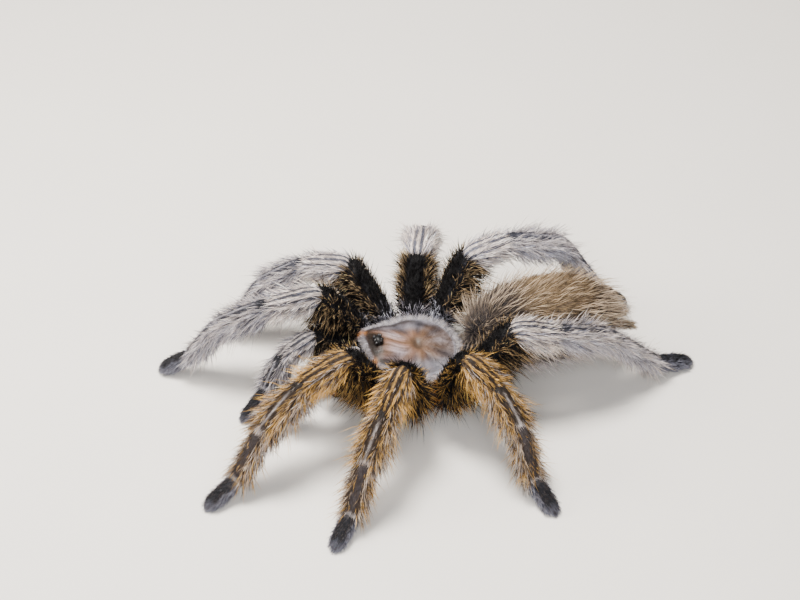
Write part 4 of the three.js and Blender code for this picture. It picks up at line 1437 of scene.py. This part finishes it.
class TARANTULA_OT_abdomen_coat(Operator):
    """Short dense hair over the abdomen, and long pale hair that flows back over it"""

    bl_idname = "tarantula.abdomen_coat"
    bl_label = "Abdomen coat"

    SEED = 300
    SHORT, LONG, SPINNERET_HAIRS = 30000, 8600, 400
    SHORT_WIDTH, LONG_WIDTH = 1.1, 0.85  # as shares of the usual widths
    PATCH_THINNING = 0.6  # how many fewer long hairs the patch on top has
    LOCK_ROWS, LOCK_TURNS, LOCK_STRIDE = 24, 52, 53
    STREAKS = 0.3  # share of the short hairs on the patch that are pale
    # share of the long hairs that are extra long, and how many more on the patch
    LONGEST, LONGEST_ON_PATCH = 0.22, 0.15

    def execute(self, context):
        hue, sizes = palette(context), context.scene.tarantula_sizes
        coat = Coat("Coat_abdomen", self.SEED)
        for layer, number in (("down", self.SHORT), ("seta", self.LONG)):
            self.grow(coat, layer, number, hue, sizes)
        for side in SIDES.values():
            self.grow_spinneret(coat, side, hue, sizes)
        coat.piece("abdomen_coat", ["abdomen"] + all_nodes("spinneret_"))
        return {"FINISHED"}

    def grow(self, coat, layer, number, hue, sizes):
        random = coat.random
        directions = unit(random.normal(size=(number * 2, 3)))
        weight = 1 - self.PATCH_THINNING * abdomen_patch(directions) * (layer == "seta")
        directions = directions[np.argsort(random.uniform(0, 1, len(weight)) ** (1 / weight))[-number:]]
        x, y, z = directions.T
        patch = abdomen_patch(directions)
        roots, normal = abdomen_point(directions)
        flow = np.stack([x * 0.25, 1 + 0 * y, z * 0.25 - 0.4 * np.abs(x)], 1)
        turn = (np.arctan2(x, z) / (2 * math.pi)) % 1
        along = np.arcsin(np.clip(y, -1, 1)) / math.pi + 0.5
        places = np.stack([inset(turn, 0.01), inset(along, 0.01)], 1)
        lock = locks_of(turn * self.LOCK_TURNS, (y + 1) * self.LOCK_ROWS, self.LOCK_STRIDE)
        sway = random.normal(size=len(x)) * 0.2 + coat.per_lock(lock)[:, 0] * 0.12
        colours = abdomen_marks(directions, hue, layer)
        if layer == "down":
            lift = random.uniform(0.2, 0.5, len(x)) + 0.2 * patch
            streak = (random.uniform(size=len(x)) < self.STREAKS * patch) * 0.6
            colours = blend(colours, blend(hue["gold"], hue["cream"], 0.5) * 0.8, streak)
            colours = varied(colours, random, 0.3, lock)
            lengths = random.uniform(1.2, 2.2, len(x)) * (1 + 0.3 * patch)
            # roots a darker and tips a lighter copy of each colour: painted shade and painted light
            coat.grow(roots, headings_over(normal, flow, lift, sway)[1], np.zeros_like(roots),
                      lengths * sizes.coat_length, sizes.down_width / MM * self.SHORT_WIDTH,
                      colours * 0.6, colours * 1.2, places, 1)
            return
        long = random.uniform(size=len(x)) < self.LONGEST + self.LONGEST_ON_PATCH * patch
        front, rear = ramp(-y, 0.45, 0.85), ramp(y, 0.2, 0.8)
        lift = np.where(long, 0.82, 0.5) + 0.3 * front + random.normal(0, 0.15, len(x))
        flow, headings = headings_over(normal, flow, lift, sway)
        lengths = np.where(long, random.uniform(4.4, 7.4, len(x)), random.uniform(2.4, 3.8, len(x)))
        lengths = lengths * (1 - 0.2 * patch)
        dark = blend(hue["charcoal"], hue["umber"], 0.6) * 0.8
        tips = blend(dark, colours, np.where(long, 1.0 - 0.3 * front, 0.14 + 0.2 * patch + 0.25 * rear))
        tips = varied(tips, random, 0.2, lock, 0.1)
        # tips made lighter: painted light on the tips
        coat.grow(roots, headings, flow * 0.16 - normal * 0.1 + np.array((0, 0, -0.05)),
                  lengths * sizes.coat_length, sizes.seta_width / MM * self.LONG_WIDTH,
                  blend(dark, tips, 0.1), tips * 1.15, places, 2, darkening=0.85)

    def grow_spinneret(self, coat, side, hue, sizes):
        random, number = coat.random, self.SPINNERET_HAIRS
        t, turn = random.uniform(0.1, 1, number), random.uniform(0, 2 * math.pi, number)
        middle, along, across, up = spinneret_line(side, t)
        outward = leaning(up, across, turn)
        roots = middle + outward * spinneret_radius(t)[:, None] * 0.95
        headings = unit(leaning(along, outward, random.normal(0.45, 0.12, number)))
        tips = varied(blend(hue["umber"], hue["cream"], random.uniform(0.2, 0.8, number)), random, 0.15)
        places = np.stack([0.25 + 0.25 * side + 0.2 * turn / math.pi, 0.985 + 0 * t], 1)
        coat.grow(roots, headings, np.zeros_like(roots), random.uniform(0.9, 1.9, number) * sizes.coat_length,
                  sizes.down_width / MM, hue["umber"] + 0 * tips, tips, places, 2)


class TARANTULA_OT_shell_coat(Operator):
    """Fine down on the shell that radiates from its middle pit, and a fringe round its edge"""

    bl_idname = "tarantula.shell_coat"
    bl_label = "Shell coat"

    SEED = 400
    DOWN, FRINGE, MOUND = 9000, 7000, 220
    DOWN_WIDTH, FRINGE_WIDTH, MOUND_WIDTH = 0.05, 0.085, 0.06
    MAP_WIDTH = 24  # millimetres across the whole bake map
    SLOPE_STEP = 0.05
    DOWN_SUNK, FRINGE_SUNK = 0.05, 0.35  # how far inside the plate the hairs start
    FRINGE_LOCKS = 120  # round the whole edge

    def execute(self, context):
        hue, sizes = palette(context), context.scene.tarantula_sizes
        coat = Coat("Coat_carapace", self.SEED)
        self.grow_down(coat, hue, sizes)
        self.grow_fringe(coat, hue, sizes)
        self.grow_mound(coat, hue)
        coat.piece("carapace_shell", ["carapace", "eye_mound"])
        return {"FINISHED"}

    def places(self, x, y):
        """Where hairs are on the bake map, which is the shell seen from above."""
        return np.stack([x / self.MAP_WIDTH + 0.5, y / self.MAP_WIDTH + 0.5], 1)

    def grow_down(self, coat, hue, sizes):
        random, number = coat.random, self.DOWN
        share = np.sqrt(random.uniform(0.002, 1, number)) * SHELL_TRIM * 0.97
        x, y = (outline_points(random.uniform(0, 1, number)) * share[:, None]).T
        step, height = self.SLOPE_STEP, shell_height(x, y, share)
        slopes = [height - shell_height(x + step, y, share), height - shell_height(x, y + step, share)]
        normal = unit(np.stack([*slopes, np.full(number, step)], 1))
        forward = ramp(-y, 4, 8)[:, None]
        flow = unit(np.stack([x, y - FOVEA["y"], 0 * x], 1)) * (1 - 0.3 * forward)
        flow = flow + np.array((0, -0.3, 0)) * forward
        lift, sideways = random.uniform(0.06, 0.28, number), random.normal(0, 0.16, number)
        _, headings = headings_over(normal, flow, lift, sideways)
        roots = np.stack([x, y, height - self.DOWN_SUNK - GROOVE_DEPTH * shell_grooves(x, y)], 1)
        colours = varied(shell_marks(x, y, share, hue), random, 0.2)
        # roots a darker and tips a lighter copy of each colour: painted shade and painted light
        coat.grow(roots, headings, np.zeros_like(roots), random.uniform(0.4, 0.9, number) * sizes.coat_length,
                  self.DOWN_WIDTH, colours * 0.8, colours * 1.25, self.places(x, y), 1)

    def grow_fringe(self, coat, hue, sizes):
        random, number = coat.random, self.FRINGE
        turns = random.uniform(0, 1, number)
        share = random.uniform(0.88, 0.97, number)
        x, y = (outline_points(turns) * share[:, None]).T
        out = unit(np.stack([x, y, 0 * x], 1))
        lock = (turns * self.FRINGE_LOCKS).astype(int)
        lift = random.uniform(-0.1, 0.6, number)
        sideways = random.normal(0, 0.2, number) + coat.per_lock(lock)[:, 0] * 0.2
        upright = np.array((0, 0, 1))
        headings = unit(leaning(out, upright, lift) + np.cross(out, upright) * sideways[:, None])
        height = shell_height(x, y, share) - self.FRINGE_SUNK - 5 * np.maximum(share - 0.92, 0)
        roots = np.stack([x, y, height], 1)
        front = ramp(-y, 8, 10.5)
        corner = front * bump_at(np.abs(x), 5.1, 0.9)
        colours = blend(hue["lilac"], hue["cream"], random.uniform(0, 0.6, number))
        colours = colours * (0.62 - 0.2 * front)[:, None]
        colours = varied(blend(colours, orange_of(hue), corner), random, 0.25, lock, 0.15)
        lengths = random.uniform(0.9, 2.6, number) * (1 - 0.4 * ramp(-y, 2, 8))
        # roots a darker and tips a lighter copy of each colour: painted shade and painted light
        coat.grow(roots, headings, out * 0.1 - np.array((0, 0, 0.25)), lengths * sizes.coat_length,
                  self.FRINGE_WIDTH, colours * 0.5, colours * 1.1, self.places(x, y), 2, darkening=1.2)

    def grow_mound(self, coat, hue):
        random = coat.random
        directions = unit(random.normal(size=(self.MOUND, 3)) * (1, 1, 0.6) + (0, 0, 0.4))
        roots = mound_foot() + directions * (MOUND_HALF * MOUND_BARE)
        colours = varied(np.broadcast_to(hue["jet"] * 2, roots.shape), random, 0.3)
        # tips a lighter copy: painted light on the tips
        coat.grow(roots, unit(directions + (0, -0.5, 0.3)), np.zeros_like(roots),
                  random.uniform(0.4, 1.0, len(roots)), self.MOUND_WIDTH, colours, colours * 1.2,
                  self.places(*roots[:, :2].T), 1)


class TARANTULA_OT_jaw_coat(Operator):
    """Hair of the jaws: pale and short on top, long and orange-brown in front and below"""

    bl_idname = "tarantula.jaw_coat"
    bl_label = "Jaw coat"

    SEED = 500
    HAIRS = 4000  # on each jaw
    WIDTH = 0.12
    LOCK_ROWS, LOCK_ROUND, LOCK_STRIDE = 14, 0.35, 31

    def execute(self, context):
        hue, sizes = palette(context), context.scene.tarantula_sizes
        coat = Coat("Coat_jaws", self.SEED)
        random = coat.random
        for number, side in enumerate(SIDES.values()):
            share = random.uniform(0.0, 1.0, self.HAIRS)
            angle = random.uniform(-math.pi, math.pi, self.HAIRS)
            roots, normal = jaw_point(side, share, angle)
            lock = locks_of(share * self.LOCK_ROWS, (angle + math.pi) / self.LOCK_ROUND, self.LOCK_STRIDE)
            sideways = random.normal(0, 0.14, len(share)) + coat.per_lock(lock)[:, 0] * 0.22
            forward = np.broadcast_to((0, -1, -0.15), roots.shape)
            flow, headings = headings_over(normal, forward, random.normal(0.55, 0.15, len(share)), sideways)
            below = ramp(np.abs(angle), 1.3, 2.3)
            lengths = (1.3 + 1.3 * below + 0.6 * ramp(share, 0.7, 1)) * random.uniform(0.6, 1.25, len(share))
            tips = varied(jaw_marks(angle, hue, "seta"), random, 0.2, lock)
            base = blend(hue["charcoal"], tips, 0.25)
            places = np.stack([(number + inset(turn_share(angle), 0.02)) / len(SIDES), inset(share, 0.02)], 1)
            # tips made lighter: painted light on the tips
            coat.grow(roots, headings, flow * 0.1 - np.array((0, 0, 0.15)), lengths * sizes.coat_length,
                      self.WIDTH, base, tips * 1.15, places, 2, darkening=1.2)
        coat.piece("jaw_coat", all_nodes("chelicera_"))
        return {"FINISHED"}


class TARANTULA_OT_underside_coat(Operator):
    """Dark hair of the sternum and mouthparts"""

    bl_idname = "tarantula.underside_coat"
    bl_label = "Underside coat"

    SEED = 600
    HAIRS = 4200
    MAP_WIDTH, MAP_LENGTH = 16, 20  # millimetres over the whole bake map

    def execute(self, context):
        hue, sizes = palette(context), context.scene.tarantula_sizes
        coat = Coat("Coat_underside", self.SEED)
        random = coat.random
        directions = unit(random.normal(size=(self.HAIRS * 3, 3)))
        directions = directions[directions[:, 2] < 0.1][:self.HAIRS]
        half = np.array([STERNUM["half_width"], STERNUM["half_length"], STERNUM["drop"]])
        roots = directions * half + (0, 0, STERNUM["height"])
        normal = unit(directions / half)
        flow = np.array((0, 0.8, 0)) + directions * (0.4, 0, 0)
        flow, headings = headings_over(normal, flow, random.normal(0.6, 0.15, len(roots)),
                                       random.normal(0, 0.15, len(roots)))
        colours = varied(np.broadcast_to(blend(hue["jet"], hue["umber"], 0.6), roots.shape), random, 0.25)
        places = np.stack([roots[:, 0] / self.MAP_WIDTH + 0.5, roots[:, 1] / self.MAP_LENGTH + 0.5], 1)
        # roots a darker copy: painted shade deep in the coat
        coat.grow(roots, headings, flow * 0.1, random.uniform(1.0, 2.2, len(roots)) * sizes.coat_length,
                  sizes.seta_width / MM, colours * 0.8, blend(colours, hue["rust"], 0.35), places, 2)
        coat.piece("underside_coat", ["underside"])
        return {"FINISHED"}


STEPS = (
    TARANTULA_OT_stage,
    TARANTULA_OT_skin,
    TARANTULA_OT_shell,
    TARANTULA_OT_eyes,
    TARANTULA_OT_jaws,
    TARANTULA_OT_fangs,
    TARANTULA_OT_claws,
    TARANTULA_OT_leg_coats,
    TARANTULA_OT_palp_coats,
    TARANTULA_OT_abdomen_coat,
    TARANTULA_OT_shell_coat,
    TARANTULA_OT_jaw_coat,
    TARANTULA_OT_underside_coat,
)


class TARANTULA_PT_panel(Panel):
    """Sizes, colours and steps of the tarantula"""

    bl_label = "Tarantula"
    bl_idname = "TARANTULA_PT_panel"
    bl_space_type = "VIEW_3D"
    bl_region_type = "UI"
    bl_category = "Tarantula"

    def draw(self, context):
        for group in (context.scene.tarantula_sizes, context.scene.tarantula_colours):
            box = self.layout.box()
            for name in type(group).__annotations__:
                box.prop(group, name)
        for step in STEPS:
            self.layout.operator(step.bl_idname)


CLASSES = (TarantulaSizes, TarantulaColours, *STEPS, TARANTULA_PT_panel)


def register():
    for cls in CLASSES:
        bpy.utils.register_class(cls)
    bpy.types.Scene.tarantula_sizes = PointerProperty(type=TarantulaSizes)
    bpy.types.Scene.tarantula_colours = PointerProperty(type=TarantulaColours)


def unregister():
    del bpy.types.Scene.tarantula_colours
    del bpy.types.Scene.tarantula_sizes
    for cls in reversed(CLASSES):
        bpy.utils.unregister_class(cls)


def main():
    """Dresses the spider, step by step."""
    register()
    for step in STEPS:
        group, name = step.bl_idname.split(".")
        getattr(getattr(bpy.ops, group), name)()


if __name__ == "__main__":
    main()
